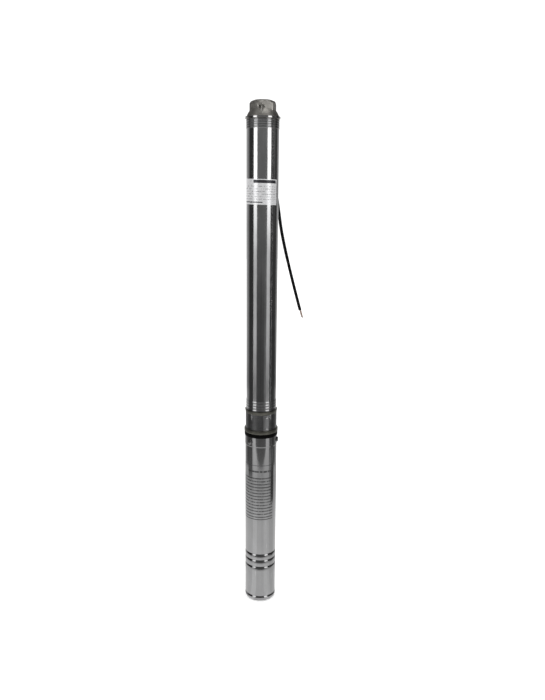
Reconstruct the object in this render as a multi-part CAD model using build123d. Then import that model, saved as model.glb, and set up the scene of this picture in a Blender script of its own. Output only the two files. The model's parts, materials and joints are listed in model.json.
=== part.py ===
from build123d import *
import math
import os

# Borehole submersible pump: a multistage pump end bolted on top of a sealed motor.
# Millimetres, +Z up. The origin is the centre of the flat base, on the pump's axis, and the
# front faces -Y. Every azimuth is counted in degrees from the front towards +X.

# Clearances
SEAT = 0.05  # between parts that are pushed together by hand
RUNNING = 0.05  # radial, between a shaft and the bush or seal that it turns in
FREE = 0.3  # between parts that must not touch

# Motor shell, a stainless tube with a turned-in base and a wider top end
MOTOR_LENGTH = 533.5
MOTOR_R = 46.5
MOTOR_WALL = 1.5
BASE_ROUND = 5.5
BASE_LIP_R = 37.0
BEAD_Z = 15.5
BEAD_DEPTH = 1.8
GROOVE_Z = (116.6, 138.6, 158.5)
GROOVE_DEPTH = 2.0
GROOVE_WIDTH = 6.4
COLLAR_LENGTH = 28.5
COLLAR_RISE = 0.75
COLLAR_SCREW_AZIMUTHS = (-41.5, 78.5, 198.5)
COLLAR_SCREW_R = 3.0
COLLAR_SCREW_DEPTH = 7.0
COLLAR_HEAD_R = 7.5
COLLAR_HEAD_HEIGHT = 3.7

# Motor base: closing cap, rubber diaphragm, thrust bearing and lower bracket
CAP_THICKNESS = 8.0
CAP_HEIGHT = 44.0
CAP_WALL = 3.5
DIAPHRAGM_THICKNESS = 2.5
DIAPHRAGM_RIM = 4.0
DIAPHRAGM_DEPTH = 18.0
PLUG_R = 5.0
PLUG_OFFSET = 20.0
PLUG_LENGTH = 11.0
THRUST_HOUSING_HEIGHT = 52.0
THRUST_FLOOR = 9.0
THRUST_BORE_R = 36.0
THRUST_PORT_R = 8.0
PAD_COUNT = 6
PAD_INNER_R = 15.0
PAD_OUTER_R = 31.0
PAD_THICKNESS = 9.0
PAD_GAP_ANGLE = 12.0
DISC_R = 32.0
DISC_THICKNESS = 11.0
LOWER_BRACKET_HEIGHT = 66.0
LOWER_BRACKET_WEB = 16.0
BRACKET_WALL = 5.0
BUSH_WALL = 3.0
BUSH_LENGTH = 30.0

# Motor top: upper bracket, seal, lead gland
UPPER_BRACKET_PLATE = 30.5
UPPER_HUB_LENGTH = 34.0
HUB_WALL = 6.0
SEAL_HEIGHT = 10.0
SEAL_WALL = 6.0
SEAL_RECESS = 6.0
SLINGER_R = 18.0
SLINGER_HEIGHT = 8.0
SLINGER_LIFT = 1.5

# Stator and rotor
STATOR_LENGTH = 190.0
STATOR_BORE_R = 24.0
AIR_GAP = 0.8
SLOT_COUNT = 18
SLOT_WIDTH = 4.0
SLOT_DEPTH = 11.0
WINDING_OVERHANG = 22.0
WINDING_INSET = 0.4
END_RING_HEIGHT = 9.0
END_RING_GAP = 2.2

# Shafts
THRUST_END_R = 9.0
JOURNAL_R = 11.0
CORE_SEAT_R = 13.0
SEAL_SEAT_R = 10.0
DRIVE_R = 8.0
DRIVE_LENGTH = 42.0
HEX_FLATS = 14.0
COUPLING_R = 14.0
COUPLING_LENGTH = 54.0
SHAFT_END_GAP = 1.5
NUT_FLATS = 20.0
NUT_HEIGHT = 8.0

# Joint between motor and pump, and the suction bracket above it
RING_HEIGHT = 11.5
RING_R = 48.5
REGISTER_R = 43.0
FLANGE_R = 49.0
FLANGE_THICKNESS = 10.5
FLANGE_EDGE = 2.0
THROAT_R = 24.0
STUD_CIRCLE_R = 37.0
STUD_R = 4.0
STUD_SINK = 10.0
STUD_RISE = 10.0
STUD_AZIMUTHS = (-45.0, 45.0, 135.0, -135.0)
STUD_NUT_FLATS = 13.0
STUD_NUT_HEIGHT = 6.5
POST_WIDTH = 9.0
POST_INNER_R = 33.0
LOCK_RING_HEIGHT = 10.0
LOCK_RING_R = 46.7
LOCK_RING_TAPER = 1.6
SPIGOT_LENGTH = 29.0
SPIGOT_WALL = 5.0

# Strainer sleeve round the suction windows
STRAINER_LENGTH = 46.5
STRAINER_R = 45.3
STRAINER_SHEET = 0.8
STRAINER_GAP_ANGLE = 9.0
SEAM_AZIMUTH = 21.0
SEAM_ANGLE = 28.0
SEAM_RISE = 0.6
STRAINER_SCREW_INSET = 6.8
STRAINER_SCREW_R = 1.5
STRAINER_SCREW_HEAD_R = 2.6
STRAINER_SCREW_HEAD_HEIGHT = 1.4
STRAINER_SCREW_DEPTH = 5.0

# Pump casing, a thin tube with rolled threads at both ends
CASING_R = 43.0
CASING_WALL = 1.5
THREAD_TURNS = 4
LOWER_THREAD_RISE = 1.6
UPPER_THREAD_RISE = 1.2
LOWER_THREAD_PITCH = 8.0
UPPER_THREAD_PITCH = 5.8
CREST_SHARE = 0.9
THREAD_END = 4.0

# Pump stages, each a bowl with an impeller in it
STAGE_COUNT = 10
STAGE_PITCH = 66.9
BOWL_WALL = 2.2
BOWL_FLOOR = 3.0
EYE_R = 15.5
NECK_WALL = 1.7
NECK_DROP = 2.5
IMPELLER_R = 35.5
IMPELLER_HUB_R = 11.0
IMPELLER_HUB_START = 4.0
SHROUD = 1.8
FRONT_SHROUD_Z = 6.5
PASSAGE_HEIGHT = 9.0
VANE_COUNT = 5
VANE_THICKNESS = 1.8
VANE_WRAP = 75.0
VANE_SETBACK = 0.4
RETURN_VANE_COUNT = 5
RETURN_VANE_R = (14.5, 35.0)
RETURN_VANE_HEIGHT = 36.0
RETURN_VANE_WRAP = -50.0

# Top bearing and its rubber bush
TOP_BEARING_HEIGHT = 30.0
TOP_BEARING_WALL = 5.0
TOP_HUB_HEIGHT = 15.0
TOP_HUB_WALL = 3.0
TOP_ARM_COUNT = 4
TOP_ARM_WIDTH = 5.0
TOP_BUSH_WALL = 3.2
TOP_JOURNAL_R = 6.9

# Outlet head with its pipe thread and non-return valve
HEAD_SPIGOT_LENGTH = 59.0
HEAD_HEIGHT = 45.6
LIP_HEIGHT = 5.0
LIP_R = 46.0
DOME_FOOT_R = 42.8
DOME_R = 45.0
HEX_CORNER_R = 36.25
HEX_CORNER_AZIMUTH = 46.6
HEX_START = 2.0
HEX_TOP_R = 22.5
HEX_TOP_DROP = 9.5
HEX_SHOULDER = (31.4, 3.5)
THREAD_BORE_R = 19.5
THREAD_BORE_LENGTH = 24.0
THREAD_CHAMFER = 1.5
CHAMBER_R = 17.6
BRIDGE_SEAT_R = 19.0
CHAMBER_LENGTH = 24.0
VALVE_PORT_R = 13.5
VALVE_PORT_LENGTH = 6.0
HEAD_FLARE_R = 34.0
EYE_LUG_THICKNESS = 6.0
EYE_LUG_R = 7.0
EYE_HOLE_R = 4.0
EYE_HOLE_OFFSET = 18.6
EYE_DROP = 18.6
EYE_RELIEF_R = 4.6
EYE_RELIEF_DEPTH = 5.0

# Non-return valve
POPPET_R = 16.0
POPPET_THICKNESS = 4.0
POPPET_LIFT = 9.0
POPPET_WING_COUNT = 3
POPPET_WING_WIDTH = 2.4
POPPET_WING_LENGTH = 16.0
POPPET_BOSS_R = 5.0
POPPET_STEM_R = 3.0
BRIDGE_WIDTH = 9.0
BRIDGE_THICKNESS = 3.0
BRIDGE_SINK = 0.4

# Motor lead, its gland and its guard up the back of the casing
LEAD_R = 4.5
LEAD_START_Y = 36.0
GLAND_WALL = 1.4
GLAND_SINK = 9.0
GLAND_RISE = 26.0
GLAND_TIP = 8.0
LEAD_BEND_START = 38.0
LEAD_BEND_LENGTH = 20.0
GUARD_START = 1.0
GUARD_DROP = 10.0  # how far the guard ends below the stack's top bearing
GUARD_SHEET = 0.8
GUARD_FOOT = 12.2
GUARD_SCREW_INSET = 12.0
GUARD_SCREW_R = 1.5
GUARD_SCREW_HEAD_R = 2.7
GUARD_SCREW_HEAD_HEIGHT = 1.8
CORE_COUNT = 4
CORE_R = 1.3
CORE_LENGTHS = (22.0, 18.0, 25.0, 20.0)
CORE_SPREAD = 2.1

# Free stretch of the lead from the top of the guard, each point counted from the guard's exit
LEAD_ROUTE = (
    (0.0, 0.0, 0.0),
    (0.0, 0.0, 41.0),
    (2.0, 31.0, 72.0),
    (8.0, 74.4, 73.0),
    (14.0, 104.4, 43.0),
    (23.0, 106.4, -14.0),
    (34.0, 92.4, -78.0),
    (47.0, 76.4, -134.0),
    (65.0, 69.4, -262.0),
    (115.0, 71.4, -450.0),
)
LEAD_BEND_SHARE = 0.45

# Heights that follow from the sizes above
MOTOR_TOP = MOTOR_LENGTH
FLANGE_BOTTOM = MOTOR_TOP + RING_HEIGHT
FLANGE_TOP = FLANGE_BOTTOM + FLANGE_THICKNESS
STRAINER_TOP = FLANGE_TOP + STRAINER_LENGTH
CASING_BOTTOM = STRAINER_TOP + LOCK_RING_HEIGHT
STACK_BOTTOM = CASING_BOTTOM + SPIGOT_LENGTH
STACK_TOP = STACK_BOTTOM + STAGE_COUNT * STAGE_PITCH
HEAD_BOTTOM = STACK_TOP + TOP_BEARING_HEIGHT
CASING_TOP = HEAD_BOTTOM + HEAD_SPIGOT_LENGTH
HEAD_TOP = CASING_TOP + HEAD_HEIGHT
THREAD_BOTTOM = HEAD_TOP - THREAD_CHAMFER - THREAD_BORE_LENGTH
BRIDGE_Z = THREAD_BOTTOM - BRIDGE_SINK - BRIDGE_THICKNESS
VALVE_SEAT_Z = BRIDGE_Z - CHAMBER_LENGTH

SHELL_BORE_R = MOTOR_R - MOTOR_WALL
INNER_R = SHELL_BORE_R - max(GROOVE_DEPTH, BEAD_DEPTH) - 4 * SEAT
DIAPHRAGM_Z = CAP_HEIGHT
THRUST_Z = DIAPHRAGM_Z + DIAPHRAGM_RIM
LOWER_BRACKET_Z = THRUST_Z + THRUST_HOUSING_HEIGHT
LOWER_BRACKET_TOP = LOWER_BRACKET_Z + LOWER_BRACKET_HEIGHT
PAD_Z = THRUST_Z + THRUST_FLOOR
DISC_Z = PAD_Z + PAD_THICKNESS + RUNNING
UPPER_BRACKET_Z = MOTOR_TOP - UPPER_BRACKET_PLATE
UPPER_HUB_Z = UPPER_BRACKET_Z - UPPER_HUB_LENGTH
STATOR_Z = (LOWER_BRACKET_TOP + UPPER_HUB_Z - STATOR_LENGTH) / 2
STATOR_TOP = STATOR_Z + STATOR_LENGTH
BUSH_R = JOURNAL_R + RUNNING + BUSH_WALL
SEAL_R = SEAL_SEAT_R + RUNNING + SEAL_WALL
SEAL_Z = MOTOR_TOP - SEAL_RECESS - SEAL_HEIGHT
DRIVE_TOP = MOTOR_TOP + DRIVE_LENGTH
COUPLING_Z = DRIVE_TOP + SHAFT_END_GAP / 2 - COUPLING_LENGTH / 2

CASING_BORE_R = CASING_R - CASING_WALL
BOWL_R = CASING_BORE_R - FREE
LEAD_Y = CASING_R + LOWER_THREAD_RISE + FREE + LEAD_R
GLAND_R = LEAD_R + GLAND_WALL
GUARD_Z = CASING_BOTTOM + GUARD_START
GUARD_TOP = HEAD_BOTTOM - GUARD_DROP
GUARD_FOOT_R = CASING_R + LOWER_THREAD_RISE + FREE


def turned(start, *steps):
    """A solid turned about Z from an outline of (radius, height) points.

    A step that holds two points is an arc, through the first to the second.
    """
    edges = []
    here = start
    for step in (*steps, start):
        if isinstance(step[0], tuple):
            middle, end = step
            edges.append(ThreePointArc(*[(r, 0, z) for r, z in (here, middle, end)]))
        else:
            end = step
            edges.append(Line((here[0], 0, here[1]), (end[0], 0, end[1])))
        here = end
    return revolve(make_face(edges), Axis.Z)


def tube(inner, outer, bottom, top):
    """A plain ring between two radii and two heights, or a disc where the inner radius is 0."""
    return turned((inner, bottom), (outer, bottom), (outer, top), (inner, top))


def rod(radius, bottom, top, x=0.0, y=0.0):
    """An upright round bar."""
    return Pos(x, y, bottom) * Cylinder(radius, top - bottom, align=(Align.CENTER, Align.CENTER, Align.MIN))


def hexagon(flats, bottom, top, turn=0.0):
    """An upright hexagonal bar, measured across its flats."""
    outline = Rot(0, 0, turn) * RegularPolygon(flats / math.sqrt(3), 6)
    return Pos(0, 0, bottom) * extrude(outline, top - bottom)


def place(azimuth, radius, height):
    """The point at an azimuth, a distance from the axis and a height."""
    angle = math.radians(azimuth)
    return (radius * math.sin(angle), -radius * math.cos(angle), height)


def outward(azimuth, radius, height):
    """A plane that faces straight out from the axis, with its own X pointing up."""
    angle = math.radians(azimuth)
    facing = (math.sin(angle), -math.cos(angle), 0)
    return Plane(place(azimuth, radius, height), x_dir=(0, 0, 1), z_dir=facing)


def radial_rod(radius, inner, outer, azimuth, height):
    """A round bar that points straight out from the axis."""
    bar = Cylinder(radius, outer - inner, align=(Align.CENTER, Align.CENTER, Align.MIN))
    return outward(azimuth, inner, height) * bar


def pan_screw(shank_r, shank_length, head_r, head_height, azimuth, radius, height):
    """A pan-head screw driven towards the axis, with its head seated at the given radius."""
    shank = radial_rod(shank_r, radius - shank_length, radius, azimuth, height)
    head = radial_rod(head_r, radius, radius + head_height, azimuth, height)
    return shank + head


def blade(inner_r, outer_r, wrap, thickness, bottom, height):
    """An upright blade whose centre line turns through the wrap angle on its way out."""
    flanks = []
    for side in (-1, 1):
        points = []
        for share in (0.0, 0.5, 1.0):
            r = inner_r + (outer_r - inner_r) * share
            angle = math.radians(wrap * share) + side * thickness / 2 / r
            points.append((r * math.cos(angle), r * math.sin(angle)))
        flanks.append(ThreePointArc(*points))
    left, right = flanks
    outline = [left, Line(left @ 1, right @ 1), right, Line(right @ 0, left @ 0)]
    return Pos(0, 0, bottom) * extrude(make_face(outline), height, dir=(0, 0, 1))


def around(shape, count):
    """Copies of a shape, evenly spaced about the axis."""
    return [Rot(0, 0, 360 * n / count) * shape for n in range(count)]


def tube_outline(radius, wall, bottom, top, dents, follow):
    """Outer and inner edge points of a tube with V-shaped rolled dents.

    Each dent is its height, width and depth, and a depth under 0 stands out. Where follow is true the
    inner face is dented as the outer one is.
    """
    outer = [(radius, bottom)]
    inner = [(radius - wall, bottom)]
    for height, width, depth in dents:
        for z, r in ((height - width / 2, 0), (height, depth), (height + width / 2, 0)):
            outer.append((radius - r, z))
            if follow:
                inner.append((radius - wall - r, z))
    outer.append((radius, top))
    inner.append((radius - wall, top))
    return outer, inner


# Motor

def motor_shell():
    """Stainless tube: turned-in base, rolled bead and grooves, wider end with its screw holes."""
    dents = [(BEAD_Z, GROOVE_WIDTH, BEAD_DEPTH)]
    dents += [(z, GROOVE_WIDTH, GROOVE_DEPTH) for z in GROOVE_Z]
    collar_z = MOTOR_TOP - COLLAR_LENGTH
    outer, inner = tube_outline(MOTOR_R, MOTOR_WALL, BASE_ROUND, collar_z, dents, True)
    bend_r = MOTOR_R - BASE_ROUND
    diagonal = math.sqrt(0.5)
    outer_bend = (bend_r + BASE_ROUND * diagonal, BASE_ROUND * (1 - diagonal))
    shell = turned(
        (BASE_LIP_R, 0),
        (bend_r, 0),
        (outer_bend, outer[0]),
        *outer[1:],
        (MOTOR_R + COLLAR_RISE, collar_z + COLLAR_RISE),
        (MOTOR_R + COLLAR_RISE, MOTOR_TOP),
        (SHELL_BORE_R, MOTOR_TOP),
        *inner[:0:-1],
        inner[0],
        (bend_r, MOTOR_WALL),
        (BASE_LIP_R, MOTOR_WALL),
    )
    return shell - collar_screw_holes()


def collar_screw_z():
    """Height of the three screws through the collar."""
    return MOTOR_TOP - COLLAR_LENGTH / 2


def collar_screw_holes():
    """The bores that the collar screws go through, in the shell and in the bracket behind it."""
    seat = MOTOR_R + COLLAR_RISE
    low = seat - COLLAR_SCREW_DEPTH - FREE
    return [
        radial_rod(COLLAR_SCREW_R + SEAT, low, seat + 1, azimuth, collar_screw_z())
        for azimuth in COLLAR_SCREW_AZIMUTHS
    ]


def collar_screws():
    """Three pan-head screws that hold the shell to the upper bracket."""
    return [
        pan_screw(
            COLLAR_SCREW_R, COLLAR_SCREW_DEPTH, COLLAR_HEAD_R, COLLAR_HEAD_HEIGHT,
            azimuth, MOTOR_R + COLLAR_RISE, collar_screw_z(),
        )
        for azimuth in COLLAR_SCREW_AZIMUTHS
    ]


def cap_radius():
    """Radius of the cap's wall, which stands clear of the shell's rounded base and its bead."""
    return MOTOR_R - BASE_ROUND - SEAT


def bottom_cap():
    """Cup that closes the base inside the turned-in lip and carries the diaphragm's rim."""
    floor = MOTOR_WALL + CAP_THICKNESS
    cup_r = cap_radius()
    cup = turned(
        (0, 0),
        (BASE_LIP_R - SEAT, 0),
        (BASE_LIP_R - SEAT, MOTOR_WALL),
        (cup_r, MOTOR_WALL),
        (cup_r, CAP_HEIGHT),
        (cup_r - CAP_WALL, CAP_HEIGHT),
        (cup_r - CAP_WALL, floor),
        (0, floor),
    )
    return cup - rod(PLUG_R + SEAT, -1, floor + 1, PLUG_OFFSET)


def filler_plug():
    """Screw plug in the filling hole of the cap."""
    return rod(PLUG_R, SEAT, PLUG_LENGTH, PLUG_OFFSET)


def diaphragm():
    """Rubber cup that takes up the filling's expansion, clamped at its rim."""
    rim_top = DIAPHRAGM_Z + DIAPHRAGM_RIM
    bend_r = cap_radius() - CAP_WALL - FREE
    low = DIAPHRAGM_Z - DIAPHRAGM_DEPTH
    return turned(
        (0, low),
        (bend_r, low),
        (bend_r, DIAPHRAGM_Z),
        (INNER_R, DIAPHRAGM_Z),
        (INNER_R, rim_top),
        (bend_r - DIAPHRAGM_THICKNESS, rim_top),
        (bend_r - DIAPHRAGM_THICKNESS, low + DIAPHRAGM_THICKNESS),
        (0, low + DIAPHRAGM_THICKNESS),
    )


def thrust_housing():
    """Cup under the lower bracket that carries the thrust pads."""
    return turned(
        (THRUST_PORT_R, THRUST_Z),
        (INNER_R, THRUST_Z),
        (INNER_R, LOWER_BRACKET_Z),
        (THRUST_BORE_R, LOWER_BRACKET_Z),
        (THRUST_BORE_R, PAD_Z),
        (THRUST_PORT_R, PAD_Z),
    )


def thrust_pads():
    """Tilting pads, sector-shaped, standing on the floor of the thrust housing."""
    face = make_face(Polyline(
        (PAD_INNER_R, 0, 0), (PAD_OUTER_R, 0, 0),
        (PAD_OUTER_R, 0, PAD_THICKNESS), (PAD_INNER_R, 0, PAD_THICKNESS), close=True,
    ))
    pad = revolve(face, Axis.Z, 360 / PAD_COUNT - PAD_GAP_ANGLE)
    return around(Pos(0, 0, PAD_Z) * pad, PAD_COUNT)


def thrust_disc():
    """Disc on the foot of the motor shaft that runs on the pads."""
    return tube(THRUST_END_R + SEAT, DISC_R, DISC_Z, DISC_Z + DISC_THICKNESS)


def lower_bracket():
    """Cast bracket gripped by the rolled grooves, with the lower bush in its hub."""
    hub_r = BUSH_R + HUB_WALL
    web_top = LOWER_BRACKET_Z + LOWER_BRACKET_WEB
    hub_top = LOWER_BRACKET_Z + LOWER_BRACKET_WEB / 2 + BUSH_LENGTH
    return turned(
        (BUSH_R + SEAT, LOWER_BRACKET_Z),
        (INNER_R, LOWER_BRACKET_Z),
        (INNER_R, LOWER_BRACKET_TOP),
        (INNER_R - BRACKET_WALL, LOWER_BRACKET_TOP),
        (INNER_R - BRACKET_WALL, web_top),
        (hub_r, web_top),
        (hub_r, hub_top),
        (BUSH_R + SEAT, hub_top),
    )


def motor_bushes():
    """Carbon bushes that carry the motor shaft in the two brackets."""
    lower = LOWER_BRACKET_Z + LOWER_BRACKET_WEB / 2
    return [
        tube(JOURNAL_R + RUNNING, BUSH_R, z, z + BUSH_LENGTH)
        for z in (lower, UPPER_HUB_Z + (UPPER_HUB_LENGTH - BUSH_LENGTH) / 2)
    ]


def upper_bracket():
    """Cast top of the motor: plate with stud, lead and seal bores, and the upper bush's hub."""
    plate_r = SHELL_BORE_R - SEAT
    seal_bore = SEAL_R + SEAT
    bush_bore = BUSH_R + SEAT
    body = turned(
        (bush_bore, UPPER_HUB_Z),
        (BUSH_R + HUB_WALL, UPPER_HUB_Z),
        (BUSH_R + HUB_WALL, UPPER_BRACKET_Z),
        (plate_r, UPPER_BRACKET_Z),
        (plate_r, MOTOR_TOP),
        (seal_bore, MOTOR_TOP),
        (seal_bore, SEAL_Z),
        (bush_bore, SEAL_Z),
    )
    body -= [
        rod(STUD_R + SEAT, MOTOR_TOP - STUD_SINK - FREE, MOTOR_TOP + 1, *place(a, STUD_CIRCLE_R, 0)[:2])
        for a in STUD_AZIMUTHS
    ]
    body -= rod(GLAND_R + SEAT, UPPER_BRACKET_Z - 1, MOTOR_TOP + 1, 0, LEAD_START_Y)
    return body - collar_screw_holes()


def shaft_seal():
    """Seal ring in the bracket's recess, round the seal seat of the shaft."""
    return tube(SEAL_SEAT_R + RUNNING, SEAL_R, SEAL_Z, SEAL_Z + SEAL_HEIGHT)


def stator_core():
    """Laminated stack with open slots round the rotor."""
    outline = Circle(SHELL_BORE_R - SEAT) - Circle(STATOR_BORE_R)
    reach = STATOR_BORE_R + SLOT_DEPTH
    slot = Pos(reach / 2, 0) * Rectangle(reach, SLOT_WIDTH)
    outline -= around(slot, SLOT_COUNT)
    return Pos(0, 0, STATOR_Z) * extrude(outline, STATOR_LENGTH)


def windings():
    """Copper: a bar through each slot, joined by the end turns above and below the stack."""
    inner = STATOR_BORE_R + 2 * WINDING_INSET
    outer = STATOR_BORE_R + SLOT_DEPTH - WINDING_INSET
    width = SLOT_WIDTH - 2 * WINDING_INSET
    bar = Pos((inner + outer) / 2, 0, STATOR_Z - 1) * Box(
        outer - inner, width, STATOR_LENGTH + 2, align=(Align.CENTER, Align.CENTER, Align.MIN)
    )
    ring = RegularPolygon(outer, SLOT_COUNT) - RegularPolygon(inner, SLOT_COUNT)
    end_turn = extrude(ring, WINDING_OVERHANG - 1)
    low = Pos(0, 0, STATOR_Z - WINDING_OVERHANG) * end_turn
    high = Pos(0, 0, STATOR_TOP + 1) * end_turn
    return low + around(bar, SLOT_COUNT) + high


def rotor_core():
    """Laminated rotor stack on the shaft's core seat."""
    return tube(CORE_SEAT_R + SEAT, STATOR_BORE_R - AIR_GAP, STATOR_Z, STATOR_TOP)


def rotor_end_rings():
    """Short-circuit rings cast on the two ends of the rotor stack."""
    inner = CORE_SEAT_R + END_RING_GAP
    outer = STATOR_BORE_R - AIR_GAP
    return [
        tube(inner, outer, z, z + END_RING_HEIGHT)
        for z in (STATOR_Z - END_RING_HEIGHT, STATOR_TOP)
    ]


def motor_shaft():
    """Stepped steel shaft from the thrust disc up to the coupling."""
    core_low = STATOR_Z - END_RING_HEIGHT
    core_high = STATOR_TOP + END_RING_HEIGHT
    journal_low = DISC_Z + DISC_THICKNESS
    seal_low = SEAL_Z - SEAL_RECESS / 2
    drive_low = MOTOR_TOP + SLINGER_LIFT
    return turned(
        (0, DISC_Z + SEAT),
        (THRUST_END_R, DISC_Z + SEAT),
        (THRUST_END_R, journal_low),
        (JOURNAL_R, journal_low),
        (JOURNAL_R, core_low),
        (CORE_SEAT_R, core_low),
        (CORE_SEAT_R, core_high),
        (JOURNAL_R, core_high),
        (JOURNAL_R, seal_low),
        (SEAL_SEAT_R, seal_low),
        (SEAL_SEAT_R, drive_low),
        (DRIVE_R, drive_low),
        (DRIVE_R, DRIVE_TOP),
        (0, DRIVE_TOP),
    )


def sand_slinger():
    """Rubber skirt on the shaft that throws sand off the seal."""
    low = MOTOR_TOP + SLINGER_LIFT
    return turned(
        (DRIVE_R + SEAT, low),
        (SLINGER_R, low),
        (SLINGER_R, low + SLINGER_HEIGHT / 3),
        (DRIVE_R + SEAT + BUSH_WALL, low + SLINGER_HEIGHT / 3),
        (DRIVE_R + SEAT + BUSH_WALL, low + SLINGER_HEIGHT),
        (DRIVE_R + SEAT, low + SLINGER_HEIGHT),
    )


def coupling():
    """Steel sleeve, bored round for the motor shaft and hexagonal for the pump shaft."""
    top = COUPLING_Z + COUPLING_LENGTH
    body = rod(COUPLING_R, COUPLING_Z, top)
    body -= rod(DRIVE_R + SEAT, COUPLING_Z - 1, DRIVE_TOP + SHAFT_END_GAP / 2)
    return body - hexagon(HEX_FLATS + 2 * SEAT, DRIVE_TOP, top + 1)


# Suction bracket and strainer

def junction_ring():
    """Rubber ring between the motor's top and the bracket's flange, round the register."""
    return tube(REGISTER_R + FREE, RING_R, MOTOR_TOP, FLANGE_BOTTOM)


def suction_bracket():
    """Casting that joins motor and pump: register, flange, posts, lock ring and threaded spigot."""
    foot = turned(
        (THROAT_R, MOTOR_TOP),
        (REGISTER_R, MOTOR_TOP),
        (REGISTER_R, FLANGE_BOTTOM),
        (FLANGE_R, FLANGE_BOTTOM),
        (FLANGE_R, FLANGE_TOP - FLANGE_EDGE),
        (FLANGE_R - FLANGE_EDGE, FLANGE_TOP),
        (THROAT_R, FLANGE_TOP),
    )
    foot -= [
        rod(STUD_R + FREE, MOTOR_TOP - 1, FLANGE_TOP + 1, *place(a, STUD_CIRCLE_R, 0)[:2])
        for a in STUD_AZIMUTHS
    ]
    foot -= rod(GLAND_R + SEAT, MOTOR_TOP - 1, FLANGE_TOP + 1, 0, LEAD_START_Y)
    spigot_r = CASING_BORE_R - SEAT
    collar = turned(
        (spigot_r - SPIGOT_WALL, STRAINER_TOP),
        (LOCK_RING_R - LOCK_RING_TAPER, STRAINER_TOP),
        (LOCK_RING_R, CASING_BOTTOM - LOCK_RING_TAPER),
        (LOCK_RING_R, CASING_BOTTOM),
        (spigot_r, CASING_BOTTOM),
        (spigot_r, STACK_BOTTOM),
        (spigot_r - SPIGOT_WALL, STACK_BOTTOM),
    )
    notch_y = LEAD_Y - LEAD_R - FREE
    collar -= Pos(0, notch_y, STRAINER_TOP - 1) * Box(
        2 * (LEAD_R + FREE), LOCK_RING_R, LOCK_RING_HEIGHT + 2, align=(Align.CENTER, Align.MIN, Align.MIN)
    )
    post_r = STRAINER_R - STRAINER_SHEET - SEAT
    band = tube(POST_INNER_R, post_r, FLANGE_TOP - 1, STRAINER_TOP + 1)
    bar = Pos(post_r / 2, 0, FLANGE_TOP - 1) * Box(
        post_r, POST_WIDTH, STRAINER_LENGTH + 2, align=(Align.CENTER, Align.CENTER, Align.MIN)
    )
    post = Rot(0, 0, SEAM_AZIMUTH - 90) * (bar & band)
    return foot + around(post, 4) + collar - strainer_screw_holes()


def strainer_screw_heights():
    """Heights of the two screws in the strainer's seam."""
    return (FLANGE_TOP + STRAINER_SCREW_INSET, STRAINER_TOP - STRAINER_SCREW_INSET)


def strainer_screw_holes():
    """Bores for the strainer screws, in the seam and in the post behind it."""
    seat = STRAINER_R + SEAM_RISE
    return [
        radial_rod(STRAINER_SCREW_R + SEAT, seat - STRAINER_SCREW_DEPTH - FREE, seat + 1, SEAM_AZIMUTH, z)
        for z in strainer_screw_heights()
    ]


def strainer_screws():
    """Two screws that close the strainer's seam onto a post."""
    return [
        pan_screw(
            STRAINER_SCREW_R, STRAINER_SCREW_DEPTH, STRAINER_SCREW_HEAD_R, STRAINER_SCREW_HEAD_HEIGHT,
            SEAM_AZIMUTH, STRAINER_R + SEAM_RISE, z,
        )
        for z in strainer_screw_heights()
    ]


def sheet_band(inner, outer, bottom, top, azimuth, angle):
    """A curved strip of sheet, centred on an azimuth."""
    corners = [(inner, 0, bottom), (outer, 0, bottom), (outer, 0, top), (inner, 0, top)]
    face = make_face(Polyline(*corners, close=True))
    return Rot(0, 0, azimuth - angle / 2 - 90) * revolve(face, Axis.Z, angle)


def strainer():
    """Sleeve round the suction windows, open at the back for the lead, with an overlapped seam."""
    sleeve = sheet_band(
        STRAINER_R - STRAINER_SHEET, STRAINER_R, FLANGE_TOP, STRAINER_TOP, 0, 360 - 2 * STRAINER_GAP_ANGLE
    )
    seam = sheet_band(
        STRAINER_R - SEAT, STRAINER_R + SEAM_RISE, FLANGE_TOP, STRAINER_TOP, SEAM_AZIMUTH, SEAM_ANGLE
    )
    return sleeve + seam - strainer_screw_holes()


def flange_studs():
    """Four studs out of the motor's top, through the bracket's flange."""
    return [
        rod(STUD_R, MOTOR_TOP - STUD_SINK, FLANGE_TOP + STUD_RISE, *place(a, STUD_CIRCLE_R, 0)[:2])
        for a in STUD_AZIMUTHS
    ]


def flange_nuts():
    """Four hexagon nuts that clamp the flange."""
    nut = hexagon(STUD_NUT_FLATS, FLANGE_TOP, FLANGE_TOP + STUD_NUT_HEIGHT)
    nut -= rod(STUD_R + SEAT, FLANGE_TOP - 1, FLANGE_TOP + STUD_NUT_HEIGHT + 1)
    return [Pos(*place(a, STUD_CIRCLE_R, 0)) * (Rot(0, 0, a) * nut) for a in STUD_AZIMUTHS]


# Pump end

def guard_screw_places():
    """Azimuth and height of each screw in the guard's feet."""
    channel = LEAD_R + FREE + GUARD_SHEET
    swing = math.degrees(math.asin((channel + GUARD_FOOT) / 2 / GUARD_FOOT_R))
    return [
        (180 + side * swing, z)
        for side in (-1, 1)
        for z in (GUARD_Z + GUARD_SCREW_INSET, GUARD_TOP - GUARD_SCREW_INSET)
    ]


def guard_screw_holes():
    """Bores for the guard screws, in the guard's feet and in the casing."""
    return [
        radial_rod(GUARD_SCREW_R + SEAT, CASING_BORE_R - 1, GUARD_FOOT_R + GUARD_SHEET + 1, azimuth, z)
        for azimuth, z in guard_screw_places()
    ]


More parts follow.
